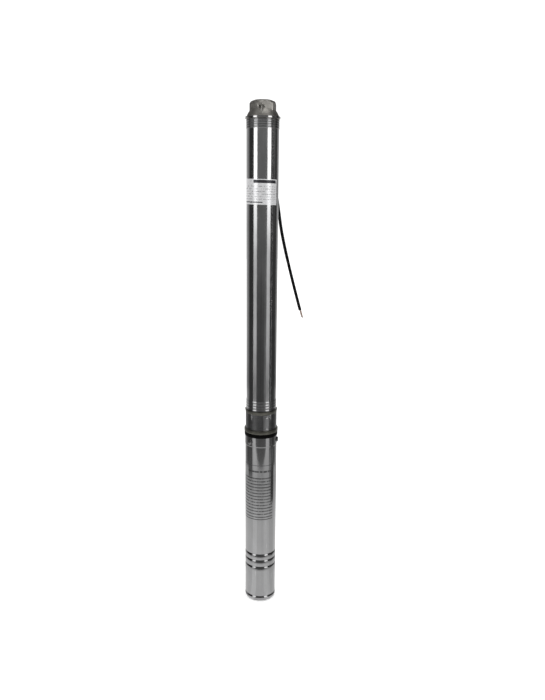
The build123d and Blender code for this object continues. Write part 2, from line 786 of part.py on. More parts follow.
def pump_casing():
    """Thin stainless tube round the stages, with rolled thread crests at both ends."""
    first = CASING_BOTTOM + THREAD_END
    last = CASING_TOP - THREAD_END
    low = [
        (first + n * LOWER_THREAD_PITCH, LOWER_THREAD_PITCH * CREST_SHARE, -LOWER_THREAD_RISE)
        for n in range(THREAD_TURNS)
    ]
    high = [
        (last - n * UPPER_THREAD_PITCH, UPPER_THREAD_PITCH * CREST_SHARE, -UPPER_THREAD_RISE)
        for n in reversed(range(THREAD_TURNS))
    ]
    outer, inner = tube_outline(CASING_R, CASING_WALL, CASING_BOTTOM, CASING_TOP, low + high, False)
    return turned(*outer, *reversed(inner)) - guard_screw_holes()


def stage_bowls():
    """Stacked bowls, each with a floor round the next impeller's eye and return vanes under it."""
    neck_hole = EYE_R + NECK_WALL + FREE
    bowl = turned(
        (neck_hole, 0),
        (BOWL_R, 0),
        (BOWL_R, STAGE_PITCH),
        (BOWL_R - BOWL_WALL, STAGE_PITCH),
        (BOWL_R - BOWL_WALL, BOWL_FLOOR),
        (neck_hole, BOWL_FLOOR),
    )
    inner, outer = RETURN_VANE_R
    vane = blade(
        max(inner, neck_hole), outer, RETURN_VANE_WRAP, VANE_THICKNESS, -RETURN_VANE_HEIGHT,
        RETURN_VANE_HEIGHT + BOWL_FLOOR / 2,
    )
    bowl += around(vane, RETURN_VANE_COUNT)
    return [Pos(0, 0, STACK_BOTTOM + n * STAGE_PITCH) * bowl for n in range(STAGE_COUNT)]


def impeller():
    """Closed impeller: neck and front shroud, curved vanes, back shroud and long hub."""
    front_top = FRONT_SHROUD_Z + SHROUD
    back_z = front_top + PASSAGE_HEIGHT
    neck = tube(EYE_R, EYE_R + NECK_WALL, BOWL_FLOOR - NECK_DROP, front_top)
    front = tube(EYE_R, IMPELLER_R, FRONT_SHROUD_Z, front_top)
    back = tube(0, IMPELLER_R, back_z, back_z + SHROUD)
    vane = blade(
        EYE_R + VANE_SETBACK, IMPELLER_R - VANE_SETBACK, VANE_WRAP, VANE_THICKNESS,
        front_top - SHROUD / 2, PASSAGE_HEIGHT + SHROUD,
    )
    hub = rod(IMPELLER_HUB_R, IMPELLER_HUB_START, IMPELLER_HUB_START + STAGE_PITCH - SEAT)
    wheel = neck + front + back + around(vane, VANE_COUNT) + hub
    return wheel - hexagon(HEX_FLATS + 2 * SEAT, 0, 2 * STAGE_PITCH)


def impellers():
    """One impeller in each bowl, their hubs stacked end to end on the shaft."""
    wheel = impeller()
    return [Pos(0, 0, STACK_BOTTOM + n * STAGE_PITCH) * wheel for n in range(STAGE_COUNT)]


def pump_shaft():
    """Hexagonal shaft through the impellers, turned round where it runs in the top bush."""
    hex_top = STACK_TOP + IMPELLER_HUB_START + NUT_HEIGHT + 1
    hexed = hexagon(HEX_FLATS, DRIVE_TOP + SHAFT_END_GAP, hex_top)
    return hexed + rod(TOP_JOURNAL_R, hex_top - 1, HEAD_BOTTOM + 1)


def shaft_nut():
    """Nut that holds the stack of impeller hubs on the shaft."""
    low = STACK_TOP + IMPELLER_HUB_START
    nut = hexagon(NUT_FLATS, low, low + NUT_HEIGHT)
    return nut - hexagon(HEX_FLATS + 2 * SEAT, low - 1, low + NUT_HEIGHT + 1)


def top_bearing_housing():
    """Ring on top of the last bowl, with arms that hold the bush's hub."""
    ring = tube(BOWL_R - TOP_BEARING_WALL, BOWL_R, STACK_TOP, HEAD_BOTTOM)
    bore_r = TOP_JOURNAL_R + RUNNING + TOP_BUSH_WALL + SEAT
    hub_low = HEAD_BOTTOM - TOP_HUB_HEIGHT
    hub_r = bore_r + TOP_HUB_WALL
    arm_length = BOWL_R - TOP_BEARING_WALL / 2 - bore_r - TOP_HUB_WALL / 2
    arm = Pos(bore_r + TOP_HUB_WALL / 2, 0, hub_low) * Box(
        arm_length, TOP_ARM_WIDTH, TOP_HUB_HEIGHT, align=(Align.MIN, Align.CENTER, Align.MIN)
    )
    return ring + tube(bore_r, hub_r, hub_low, HEAD_BOTTOM) + around(arm, TOP_ARM_COUNT)


def top_bush():
    """Rubber bush round the shaft's top journal."""
    inner = TOP_JOURNAL_R + RUNNING
    return tube(inner, inner + TOP_BUSH_WALL, HEAD_BOTTOM - TOP_HUB_HEIGHT, HEAD_BOTTOM)


# Outlet head and valve

def hexagon_cap():
    """The spanner hexagon with its top eased in two chamfers."""
    shoulder_r, shoulder_drop = HEX_SHOULDER
    base = CASING_TOP + LIP_HEIGHT + HEX_START
    prism = hexagon(HEX_CORNER_R * math.sqrt(3), base, HEAD_TOP, HEX_CORNER_AZIMUTH - 90)
    cap = turned(
        (0, base),
        (HEX_CORNER_R + SEAT, base),
        (HEX_CORNER_R + SEAT, HEAD_TOP - HEX_TOP_DROP),
        (shoulder_r, HEAD_TOP - shoulder_drop),
        (HEX_TOP_R, HEAD_TOP),
        (0, HEAD_TOP),
    )
    return prism & cap


def lug_plane(side):
    """Plane on the hexagon's flat that carries a rope lug, with its own X towards the lug's corner."""
    azimuth = HEX_CORNER_AZIMUTH - 90 + 180 * side
    angle = math.radians(azimuth)
    apothem = HEX_CORNER_R * math.cos(math.radians(30))
    origin = place(azimuth, apothem, HEAD_TOP - EYE_DROP)
    along = (math.cos(angle), math.sin(angle), 0)
    facing = (math.sin(angle), -math.cos(angle), 0)
    return Plane(origin, x_dir=along, z_dir=facing)


def rope_lugs():
    """Two plates in line with opposite flats, each standing past a corner, and what is cut from them."""
    lugs = []
    cuts = []
    dome_depth = HEAD_HEIGHT - EYE_DROP - LIP_HEIGHT - HEX_START
    for side in (0, 1):
        plane = lug_plane(side)
        plate = Pos(EYE_HOLE_OFFSET, 0) * Circle(EYE_LUG_R)
        plate += Pos(EYE_HOLE_OFFSET, -dome_depth / 2) * Rectangle(2 * EYE_LUG_R, dome_depth)
        lugs.append(plane * (Pos(0, 0, -EYE_LUG_THICKNESS) * extrude(plate, EYE_LUG_THICKNESS)))
        eye = Pos(EYE_HOLE_OFFSET, 0, -EYE_LUG_THICKNESS) * Cylinder(
            EYE_HOLE_R, 3 * EYE_LUG_THICKNESS, align=(Align.CENTER, Align.CENTER, Align.MIN)
        )
        slot = Pos(EYE_HOLE_OFFSET, 0) * Circle(EYE_RELIEF_R)
        slot += Pos(EYE_HOLE_OFFSET + HEX_CORNER_R / 2, 0) * Rectangle(HEX_CORNER_R, 2 * EYE_RELIEF_R)
        depth = EYE_LUG_THICKNESS + EYE_RELIEF_DEPTH
        relief = Pos(0, 0, -depth) * extrude(slot, EYE_RELIEF_DEPTH)
        cuts += [plane * eye, plane * relief]
    return lugs, cuts


def outlet_head():
    """Cast outlet: spigot in the casing, lip, dome, hexagon with rope lugs, pipe thread and valve seat."""
    spigot_r = CASING_BORE_R - SEAT
    lip_top = CASING_TOP + LIP_HEIGHT
    centre_z = lip_top - math.sqrt(DOME_R**2 - DOME_FOOT_R**2)
    halfway, dome_top = [
        (r, centre_z + math.sqrt(DOME_R**2 - r**2))
        for r in ((DOME_FOOT_R + HEX_TOP_R) / 2, HEX_TOP_R)
    ]
    body = turned(
        (0, HEAD_BOTTOM),
        (spigot_r, HEAD_BOTTOM),
        (spigot_r, CASING_TOP),
        (LIP_R, CASING_TOP),
        (LIP_R, lip_top),
        (DOME_FOOT_R, lip_top),
        (halfway, dome_top),
        (0, dome_top[1]),
    )
    lugs, cuts = rope_lugs()
    bore = turned(
        (0, HEAD_BOTTOM),
        (HEAD_FLARE_R, HEAD_BOTTOM),
        (VALVE_PORT_R, VALVE_SEAT_Z - VALVE_PORT_LENGTH),
        (VALVE_PORT_R, VALVE_SEAT_Z),
        (CHAMBER_R, VALVE_SEAT_Z),
        (CHAMBER_R, BRIDGE_Z),
        (BRIDGE_SEAT_R, BRIDGE_Z),
        (BRIDGE_SEAT_R, THREAD_BOTTOM),
        (THREAD_BORE_R, THREAD_BOTTOM),
        (THREAD_BORE_R, HEAD_TOP - THREAD_CHAMFER),
        (THREAD_BORE_R + THREAD_CHAMFER, HEAD_TOP),
        (0, HEAD_TOP),
    )
    return (body + hexagon_cap() + lugs) - cuts - bore


def valve_poppet():
    """Non-return valve: disc on the seat, wings in the port, boss and stem towards the bridge."""
    disc_top = VALVE_SEAT_Z + POPPET_THICKNESS
    stop_z = BRIDGE_Z - POPPET_LIFT
    stem_top = BRIDGE_Z + BRIDGE_THICKNESS
    body = turned(
        (0, VALVE_SEAT_Z),
        (POPPET_R, VALVE_SEAT_Z),
        (POPPET_R, disc_top),
        (POPPET_BOSS_R, disc_top),
        (POPPET_BOSS_R, stop_z),
        (POPPET_STEM_R, stop_z),
        (POPPET_STEM_R, stem_top),
        (0, stem_top),
    )
    wing = Pos(0, 0, VALVE_SEAT_Z - POPPET_WING_LENGTH) * Box(
        VALVE_PORT_R - FREE, POPPET_WING_WIDTH, POPPET_WING_LENGTH + 1,
        align=(Align.MIN, Align.CENTER, Align.MIN),
    )
    return body + around(wing, POPPET_WING_COUNT)


def valve_bridge():
    """Bar across the outlet, on the ledge under the thread, that guides the stem and stops the valve."""
    bar_top = BRIDGE_Z + BRIDGE_THICKNESS
    bar = tube(0, BRIDGE_SEAT_R - FREE, BRIDGE_Z, bar_top)
    bar &= Pos(0, 0, BRIDGE_Z) * Box(2 * THREAD_BORE_R, BRIDGE_WIDTH, 3 * BRIDGE_THICKNESS)
    return bar - rod(POPPET_STEM_R + RUNNING, BRIDGE_Z - 1, bar_top + 1)


# Lead and guard

def cable_guard():
    """Stainless channel over the lead, with two feet along the casing."""
    half = LEAD_R + FREE
    foot_outer = GUARD_FOOT_R + GUARD_SHEET
    top = LEAD_Y + LEAD_R + FREE
    feet = (Circle(foot_outer) - Circle(GUARD_FOOT_R)) & (
        Pos(0, GUARD_FOOT_R) * Rectangle(2 * GUARD_FOOT, GUARD_FOOT_R)
    )
    low = GUARD_FOOT_R * math.cos(math.asin(half / GUARD_FOOT_R))
    channel = Pos(0, (low + top + GUARD_SHEET) / 2) * Rectangle(
        2 * (half + GUARD_SHEET), top + GUARD_SHEET - low
    )
    inside = Pos(0, top / 2) * Rectangle(2 * half, top)
    outline = feet + channel - inside
    return Pos(0, 0, GUARD_Z) * extrude(outline, GUARD_TOP - GUARD_Z) - guard_screw_holes()


def guard_screws():
    """Four screws through the guard's feet into the casing."""
    seat = GUARD_FOOT_R + GUARD_SHEET
    depth = seat - CASING_BORE_R - FREE / 2
    return [
        pan_screw(GUARD_SCREW_R, depth, GUARD_SCREW_HEAD_R, GUARD_SCREW_HEAD_HEIGHT, azimuth, seat, z)
        for azimuth, z in guard_screw_places()
    ]


def lead_gland():
    """Rubber gland in the motor's top that the lead comes out of."""
    top = MOTOR_TOP + GLAND_RISE
    body = turned(
        (LEAD_R, MOTOR_TOP - GLAND_SINK),
        (GLAND_R, MOTOR_TOP - GLAND_SINK),
        (GLAND_R, top - GLAND_TIP),
        (LEAD_R + GLAND_WALL / 2, top),
        (LEAD_R, top),
    )
    return Pos(0, LEAD_START_Y, 0) * body


def cable(points, radii, radius):
    """A round cable along straight runs joined by tangent arcs, and its path."""
    path = FilletPolyline(*points, radius=radii)
    section = Plane(path @ 0, z_dir=path % 0) * Circle(radius)
    return sweep(section, path), path


def bend_radii(points):
    """The largest radius at each corner that its two runs allow."""
    radii = []
    for before, corner, after in zip(points, points[1:], points[2:]):
        first = Vector(*corner) - Vector(*before)
        second = Vector(*after) - Vector(*corner)
        turn = math.radians(first.get_angle(second))
        radii.append(LEAD_BEND_SHARE * min(first.length, second.length) / math.tan(turn / 2))
    return radii


def guarded_lead():
    """The lead from the gland, out through the strainer's gap and up under the guard."""
    bend_z = MOTOR_TOP + LEAD_BEND_START
    points = [
        (0, LEAD_START_Y, MOTOR_TOP - GLAND_SINK),
        (0, LEAD_START_Y, bend_z),
        (0, LEAD_Y, bend_z + LEAD_BEND_LENGTH),
        (0, LEAD_Y, GUARD_TOP),
    ]
    solid, path = cable(points, bend_radii(points), LEAD_R)
    print(f"guarded lead: {path.length:.1f} long")
    return solid


def free_lead_points():
    """The route of the free stretch, from the guard's exit to the bare end."""
    return [(x, LEAD_Y + y, GUARD_TOP + z) for x, y, z in LEAD_ROUTE]


def free_lead():
    """The free stretch of the lead, over the back of the pump and down beside it."""
    points = free_lead_points()
    radii = bend_radii(points)
    solid, path = cable(points, radii, LEAD_R)
    expected = path.length * math.pi * LEAD_R**2
    print("free lead bend radii:", ", ".join(f"{r:.0f}" for r in radii))
    print(f"free lead: {path.length:.1f} long")
    print(f"free lead volume {solid.volume:.0f}, section times length {expected:.0f}")
    return solid


def lead_cores():
    """Bared cores at the end of the lead, of uneven length."""
    before, end = [Vector(*p) for p in free_lead_points()[-2:]]
    along = (end - before).normalized()
    plane = Plane(end, z_dir=along)
    cores = []
    for n, length in enumerate(CORE_LENGTHS):
        angle = math.radians(360 * n / CORE_COUNT + 45)
        wire = Cylinder(CORE_R, length, align=(Align.CENTER, Align.CENTER, Align.MIN))
        cores.append(plane * (Pos(CORE_SPREAD * math.cos(angle), CORE_SPREAD * math.sin(angle), 0) * wire))
    return cores


NODES = (
    outlet_head, valve_bridge, valve_poppet, pump_casing, top_bearing_housing, top_bush, stage_bowls,
    suction_bracket, strainer, strainer_screws, junction_ring, flange_studs, flange_nuts,
    cable_guard, guard_screws, lead_gland, guarded_lead, free_lead, lead_cores,
    motor_shell, collar_screws, upper_bracket, shaft_seal, stator_core, windings, lower_bracket,
    motor_bushes, thrust_housing, thrust_pads, diaphragm, bottom_cap, filler_plug,
    motor_shaft, rotor_core, rotor_end_rings, thrust_disc, sand_slinger, coupling,
    pump_shaft, impellers, shaft_nut,
)


def write_parts():
    """Write each node to its own file, named after the function that makes it."""
    os.makedirs("parts", exist_ok=True)
    for make in NODES:
        shape = make()
        if isinstance(shape, list):
            shape = Compound(children=shape)
        export_step(shape, f"parts/{make.__name__}.step")


write_parts()
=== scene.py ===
import json
import logging
import math
from collections.abc import Callable
from dataclasses import dataclass, field
from enum import Enum

import bmesh
import bpy
from mathutils import Matrix, Vector


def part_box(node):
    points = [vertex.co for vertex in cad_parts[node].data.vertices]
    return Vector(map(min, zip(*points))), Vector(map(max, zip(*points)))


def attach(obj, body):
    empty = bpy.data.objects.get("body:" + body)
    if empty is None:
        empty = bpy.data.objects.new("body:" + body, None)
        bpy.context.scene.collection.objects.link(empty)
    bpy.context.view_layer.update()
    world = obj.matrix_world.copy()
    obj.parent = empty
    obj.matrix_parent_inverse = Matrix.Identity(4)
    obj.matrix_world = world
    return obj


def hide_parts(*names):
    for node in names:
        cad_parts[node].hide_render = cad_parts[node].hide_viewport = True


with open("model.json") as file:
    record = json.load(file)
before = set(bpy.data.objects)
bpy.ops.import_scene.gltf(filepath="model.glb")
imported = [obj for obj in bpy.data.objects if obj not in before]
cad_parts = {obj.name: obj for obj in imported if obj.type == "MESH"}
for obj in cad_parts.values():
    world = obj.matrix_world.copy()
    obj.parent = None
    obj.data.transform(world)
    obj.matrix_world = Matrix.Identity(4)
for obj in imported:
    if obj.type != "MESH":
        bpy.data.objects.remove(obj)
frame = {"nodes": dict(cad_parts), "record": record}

log = logging.getLogger("pump")

MM = 0.001
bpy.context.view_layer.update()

SHARP = math.radians(32.0)  # edges that turn by more are shaded sharp, or eased
EASED_SHARP = math.radians(40.0)  # the same limit once edges are eased or a sheet has its thickness
FLAT = math.radians(0.5)  # a CAD node's facets that turn by less become one face
CAD_MERGE = 2e-6  # a CAD node's corners closer than this, in metres, become one
OUTLINE_MERGE = 1e-7  # the same for a turned outline
EASE_STEPS = 2
WAVE_STEPS = 14

Socket = bpy.types.NodeSocket
Object = bpy.types.Object
Pair = tuple[float, float]
Profile = list[Pair]
Triple = tuple[float, float, float]
Colour = Triple
Levels = tuple[Pair, ...]


class Body(Enum):
    """The moving bodies of the pump."""

    PUMP = "pump"
    ROTOR = "rotor"
    VALVE = "valve"


# Node trees

@dataclass(frozen=True)
class Pattern:
    """A noise: repeats for each unit, detail, roughness, and how its coordinates are stretched."""

    scale: float
    detail: float
    rough: float
    stretch: Triple = (1, 1, 1)


STREAKS = Pattern(420, 4, 0.6, (1, 1, 0.02))
SMUDGES = Pattern(28, 5, 0.62, (1, 1, 0.45))
SCRATCHES = Pattern(150, 2, 0.4, (1, 1, 0.12))
STROKES = Pattern(1, 1, 0.5)
HOLLOWS = Pattern(90, 4, 0.6)
SAND = Pattern(900, 3, 0.6)
DUST = Pattern(60, 4, 0.6)
MOULD_GRAIN = Pattern(1400, 2, 0.5)
WEAR = Pattern(120, 3, 0.5)
FILM_CLOUD = Pattern(200, 3, 0.5)
FILM_DASHES = Pattern(1, 1, 0.5, (30, 9, 1))
FLOOR_CLOUD = Pattern(1.5, 2, 0.5)


class Nodes:
    """A builder that adds, sets and links a tree's nodes."""

    def __init__(self, tree: bpy.types.NodeTree) -> None:
        """Start with an empty tree."""
        self.tree = tree
        tree.nodes.clear()

    def feed(self, node: bpy.types.Node, inputs: dict) -> None:
        """Set or link a node's inputs.

        Args:
            node: the node.
            inputs: a value or another node's output socket, for an input's name or number.
        """
        for name, value in inputs.items():
            if isinstance(value, Socket):
                self.tree.links.new(value, node.inputs[name])
            else:
                node.inputs[name].default_value = value

    def add(self, kind: str, inputs: dict | None = None, **settings: object) -> bpy.types.Node:
        """Add one node.

        Args:
            kind: the node's type name.
            inputs: what goes into its inputs, as feed takes it.
            settings: properties of the node itself.

        Returns:
            The new node.
        """
        node = self.tree.nodes.new(kind)
        for name, value in settings.items():
            setattr(node, name, value)
        self.feed(node, inputs or {})
        return node

    def maths(self, operation: str, *values: object) -> Socket:
        """A Math node's result for one to three values or sockets."""
        return self.add("ShaderNodeMath", dict(enumerate(values)), operation=operation).outputs[0]

    def times(self, first: object, second: object) -> Socket:
        """The product of two values or sockets."""
        return self.maths("MULTIPLY", first, second)

    def within(self, value: Socket, low: float, high: float) -> Socket:
        """1 where a value is between two limits, and 0 elsewhere."""
        return self.times(self.maths("GREATER_THAN", value, low), self.maths("LESS_THAN", value, high))

    def split(self, vector: Socket) -> list[Socket]:
        """A vector's three parts."""
        return list(self.add("ShaderNodeSeparateXYZ", {"Vector": vector}).outputs)

    def noise(self, coords: Socket, pattern: Pattern) -> Socket:
        """A noise over some coordinates.

        Args:
            coords: the coordinates.
            pattern: what the noise is like.

        Returns:
            Its value, between 0 and 1.
        """
        if pattern.stretch != (1, 1, 1):
            coords = self.add("ShaderNodeMapping", {"Vector": coords, "Scale": pattern.stretch}).outputs[0]
        return self.add("ShaderNodeTexNoise", {
            "Vector": coords, "Scale": pattern.scale, "Detail": pattern.detail, "Roughness": pattern.rough,
        }).outputs[0]

    def ramp(self, value: object, *stops: Pair) -> Socket:
        """A grey ramp.

        Args:
            value: what goes through it.
            stops: the (position, level) pairs, lowest first.

        Returns:
            The ramp's colour.
        """
        node = self.add("ShaderNodeValToRGB", {"Fac": value})
        elements = node.color_ramp.elements
        while len(elements) < len(stops):
            elements.new(0.5)
        for element, (position, level) in zip(elements, stops):
            element.position = position
            element.color = (level, level, level, 1.0)
        return node.outputs[0]

    def blend(self, share: object, first: object, second: object) -> Socket:
        """A colour between two.

        Args:
            share: the second's share.
            first: a colour or its socket.
            second: the other.

        Returns:
            The mixed colour.
        """
        node = self.add("ShaderNodeMix", data_type="RGBA")
        colours = [c if isinstance(c, Socket) else (*c, 1.0) for c in (first, second)]
        self.feed(node, {0: share, 6: colours[0], 7: colours[1]})  # the factor and the two colours
        return node.outputs[2]

    def spread(self, value: object, low: float, high: float) -> Socket:
        """A value from 0 to 1 spread between two levels."""
        return self.add("ShaderNodeMapRange", {"Value": value, "To Min": low, "To Max": high}).outputs[0]

    def bump(self, height: Socket, strength: float, depth: float) -> Socket:
        """A normal bumped by a height, with a strength and a depth in metres."""
        inputs = {"Height": height, "Strength": strength, "Distance": depth}
        return self.add("ShaderNodeBump", inputs).outputs[0]


class Paint(Nodes):
    """The builder for a new material, with its shader and object coordinates in metres."""

    def __init__(self, name: str, kind: str = "ShaderNodeBsdfPrincipled") -> None:
        """Make the material with its shader.

        Args:
            name: the material's name.
            kind: the shader's type name.
        """
        self.material = bpy.data.materials.new(name)
        self.material.use_nodes = True
        super().__init__(self.material.node_tree)
        self.shader = self.add(kind)
        self.add("ShaderNodeOutputMaterial", {"Surface": self.shader.outputs[0]})
        self.coords = self.add("ShaderNodeTexCoord").outputs["Object"]

    def dress(self, inputs: dict) -> None:
        """Set or link the shader's inputs, as feed does."""
        self.feed(self.shader, inputs)


# Finishes

def scaled(colour: Colour, share: float) -> Colour:
    """A colour times a share."""
    return tuple(c * share for c in colour)


@dataclass(frozen=True)
class Finish:
    """What every finish has: its name and the record's slot that it belongs to."""

    name: str
    slot: str

    def material(self) -> bpy.types.Material:
        """Make the finish's material, once.

        Returns:
            The material.
        """
        made = bpy.data.materials.get(self.name)
        if made is None:
            paint = Paint(self.name)
            self.fill(paint)
            made = paint.material
        return made

    def fill(self, paint: Paint) -> None:
        """Set the shader's inputs. Each finish has its own.

        Args:
            paint: the material's builder.
        """
        raise NotImplementedError


@dataclass(frozen=True)
class RolledSteel(Finish):
    """Stainless sheet: drawing lines along the axis, smudges and a few scratches."""

    colour: Colour
    rough: float
    smudge: float
    grain: float = 0.02
    scratch: float = 0.25
    smudge_depth: float = 2.5
    bare: Colour = (0.72, 0.72, 0.72)

    def fill(self, paint: Paint) -> None:
        """Set colour, roughness and bump from streaks, smudges and scratches.

        Args:
            paint: the material's builder.
        """
        streaks, smudges, lines = (paint.noise(paint.coords, p) for p in (STREAKS, SMUDGES, SCRATCHES))
        dark = scaled(self.colour, 1.0 - self.smudge * self.smudge_depth)
        mottled = paint.blend(paint.ramp(smudges, (0.35, 0), (0.62, 1)), dark, self.colour)
        scratched = paint.times(paint.ramp(lines, (0.68, 0), (0.74, 1)), self.scratch)
        rough = paint.spread(smudges, self.rough - self.smudge, self.rough + self.smudge)
        paint.dress({
            "Base Color": paint.blend(scratched, mottled, self.bare),
            "Metallic": 1.0,
            "Roughness": paint.maths("ADD", rough, paint.times(streaks, self.grain)),
            "Normal": paint.bump(streaks, 0.06, 0.0002),
        })


@dataclass(frozen=True)
class EtchedSteel(RolledSteel):
    """Stainless sheet with a ruled table etched on its front: rows of short strokes without words.

    Heights are in millimetres and sweeps in degrees. Shares and rules count in rows.
    """

    low: float = 283.0
    high: float = 416.0
    row: float = 9.5
    heading: float = 430.0
    sweep: Pair = (-80.0, 48.0)
    strength: float = 0.75
    line_share: float = 0.4
    stroke_rate: float = 0.55
    row_shift: float = 3.7
    heading_share: float = 0.3
    heading_sweep: Pair = (-52.0, 38.0)
    foot_rule: Pair = (-0.75, -0.45)
    head_rule: Pair = (1.9, 2.05)
    ink: Colour = (0.03, 0.03, 0.03)
    ink_rough: float = 0.2

    def fill(self, paint: Paint) -> None:
        """Lay the rows over the plain sheet's colour and roughness.

        Args:
            paint: the material's builder.
        """
        super().fill(paint)
        x, y, z = paint.split(paint.coords)
        across = paint.times(paint.maths("ARCTAN2", x, paint.times(y, -1.0)), 180.0 / math.pi)
        up = paint.maths("DIVIDE", paint.maths("SUBTRACT", z, self.low * MM), self.row * MM)
        shifts = paint.times(paint.maths("FLOOR", up), self.row_shift)
        spot = paint.add("ShaderNodeCombineXYZ", {"X": paint.times(across, self.stroke_rate), "Y": shifts})
        strokes = paint.ramp(paint.noise(spot.outputs[0], STROKES), (0.36, 0), (0.44, 1))
        lines = paint.times(
            paint.maths("LESS_THAN", paint.maths("FRACT", up), self.line_share),
            paint.within(up, 0.0, (self.high - self.low) / self.row),
        )
        top = (self.heading - self.low) / self.row
        heading = paint.times(
            paint.within(up, top - self.heading_share, top + self.heading_share),
            paint.within(across, *self.heading_sweep),
        )
        written = paint.times(paint.maths("MAXIMUM", lines, heading), strokes)
        head_rule = paint.within(up, *(top + rows for rows in self.head_rule))
        rules = paint.maths("MAXIMUM", paint.within(up, *self.foot_rule), head_rule)
        inked = paint.times(paint.maths("MAXIMUM", written, rules), paint.within(across, *self.sweep))
        plain, rough = (paint.shader.inputs[n].links[0].from_socket for n in ("Base Color", "Roughness"))
        paint.dress({
            "Base Color": paint.blend(paint.times(inked, self.strength), plain, self.ink),
            "Roughness": paint.maths("ADD", rough, paint.times(inked, self.ink_rough)),
        })


@dataclass(frozen=True)
class Casting(Finish):
    """Cast metal: sandy skin with pits and a darker tone in the hollows."""

    colour: Colour
    rough: float
    metallic: float = 1.0
    pit: float = 0.00035
    hollow: float = 0.62

    def fill(self, paint: Paint) -> None:
        """Set colour, roughness and bump from a coarse and a fine noise.

        Args:
            paint: the material's builder.
        """
        coarse, fine = (paint.noise(paint.coords, p) for p in (HOLLOWS, SAND))
        dark = scaled(self.colour, self.hollow)
        paint.dress({
            "Base Color": paint.blend(paint.ramp(coarse, (0.3, 0), (0.65, 1)), dark, self.colour),
            "Metallic": self.metallic,
            "Roughness": paint.spread(fine, self.rough - 0.08, self.rough + 0.14),
            "Normal": paint.bump(paint.maths("ADD", paint.times(coarse, 0.5), fine), 0.5, self.pit),
        })


@dataclass(frozen=True)
class Moulded(Finish):
    """Rubber or plastic: even tone with a fine moulded grain and faint dust."""

    colour: Colour
    rough: float
    dust: float = 0.03
    grain: float = 0.00012
    shine: float = 0.5

    def fill(self, paint: Paint) -> None:
        """Set colour, roughness, shine and bump from dust and grain.

        Args:
            paint: the material's builder.
        """
        cloud, grain = (paint.noise(paint.coords, p) for p in (DUST, MOULD_GRAIN))
        dusty = tuple(min(1.0, c + self.dust) for c in self.colour)
        paint.dress({
            "Base Color": paint.blend(paint.ramp(cloud, (0.45, 0), (0.75, 1)), self.colour, dusty),
            "Specular IOR Level": self.shine,
            "Roughness": paint.spread(cloud, self.rough - 0.06, self.rough + 0.08),
            "Normal": paint.bump(grain, 0.4, self.grain),
        })


@dataclass(frozen=True)
class Laminated(Finish):
    """Stacked sheets or wound wire: fine lines across the axis, at a pitch in millimetres."""

    colour: Colour = (0.3, 0.3, 0.32)
    pitch: float = 1.2
    metallic: float = 1.0
    groove: float = 0.5

    def fill(self, paint: Paint) -> None:
        """Set colour, roughness and bump from lines along the axis.

        Args:
            paint: the material's builder.
        """
        turns = paint.times(paint.split(paint.coords)[2], 2 * math.pi / (self.pitch * MM))
        line = paint.spread(paint.maths("SINE", turns), 0.0, 1.0)
        cloud = paint.noise(paint.coords, WEAR)
        dark = scaled(self.colour, self.groove)
        paint.dress({
            "Base Color": paint.blend(paint.times(line, cloud), self.colour, dark),
            "Metallic": self.metallic,
            "Roughness": paint.spread(cloud, 0.3, 0.5),
            "Normal": paint.bump(line, 0.4, 0.0002),
        })


@dataclass(frozen=True)
class RatingPlate(Finish):
    """Silver film plate: a dark header bar, a foot line and ruled rows, read from the plate's own UV map.

    Each area is (left, right, low, high) as a share of the plate.
    """

    film: Colour = (0.72, 0.72, 0.73)
    film_dip: float = 0.9
    film_metallic: float = 0.42
    ink: Colour = (0.03, 0.03, 0.035)
    rows: float = 10.0
    line_share: float = 0.3
    faint: float = 0.55
    bar: tuple[float, ...] = (0.4, 0.965, 0.845, 0.965)
    foot: tuple[float, ...] = (0.02, 0.62, 0.075, 0.115)
    table: tuple[float, ...] = (0.05, 0.95, 0.14, 0.8)

    def fill(self, paint: Paint) -> None:
        """Set the colour from areas and rows across the plate.

        Args:
            paint: the material's builder.
        """
        uv = paint.add("ShaderNodeUVMap", uv_map="UVMap").outputs[0]
        across, up, _ = paint.split(uv)
        bar, foot, table = (
            paint.times(paint.within(across, left, right), paint.within(up, low, high))
            for left, right, low, high in (self.bar, self.foot, self.table)
        )
        rule = paint.maths("FRACT", paint.times(up, self.rows))
        ruled = paint.times(paint.maths("LESS_THAN", rule, self.line_share), table)
        broken = paint.ramp(paint.noise(uv, FILM_DASHES), (0.46, 0), (0.54, 1))
        faint = paint.times(paint.times(ruled, broken), self.faint)
        inked = paint.maths("MAXIMUM", paint.maths("MAXIMUM", bar, foot), faint)
        cloud = paint.noise(paint.coords, FILM_CLOUD)
        film = paint.blend(cloud, scaled(self.film, self.film_dip), self.film)
        paint.dress({
            "Base Color": paint.blend(inked, film, self.ink),
            "Metallic": self.film_metallic,
            "Roughness": paint.spread(cloud, 0.23, 0.33),
        })


POLISHED = RolledSteel("polished_casing_steel", "polished_stainless", (0.56, 0.56, 0.565), 0.13, 0.05)
SATIN = EtchedSteel("satin_motor_steel", "motor_stainless", (0.3, 0.3, 0.302), 0.085, 0.03, 0.03, 0.1)
GUARD = RolledSteel("guard_sheet_steel", "guard_stainless", (0.6, 0.6, 0.6), 0.24, 0.06)
OUTLET = Casting("cast_outlet_steel", "cast_outlet", (0.5, 0.485, 0.45), 0.36, hollow=0.82)
LIP = RolledSteel("turned_lip_steel", "cast_outlet", (0.5, 0.495, 0.49), 0.12, 0.04)
BRACKET = Casting("dark_bracket_casting", "cast_bracket", (0.15, 0.147, 0.128), 0.4)
STRAINER = RolledSteel("dark_strainer_sheet", "dark_strainer", (0.2, 0.2, 0.203), 0.34, 0.08)
# the strainer sheet lightened: a painted highlight on the plain seam strip
LIT_SEAM = RolledSteel("seam_strainer_sheet", "dark_strainer", (0.3, 0.3, 0.304), 0.3, 0.07)
SCREW = RolledSteel("bright_screw_steel", "screw_steel", (0.66, 0.66, 0.66), 0.2, 0.05)
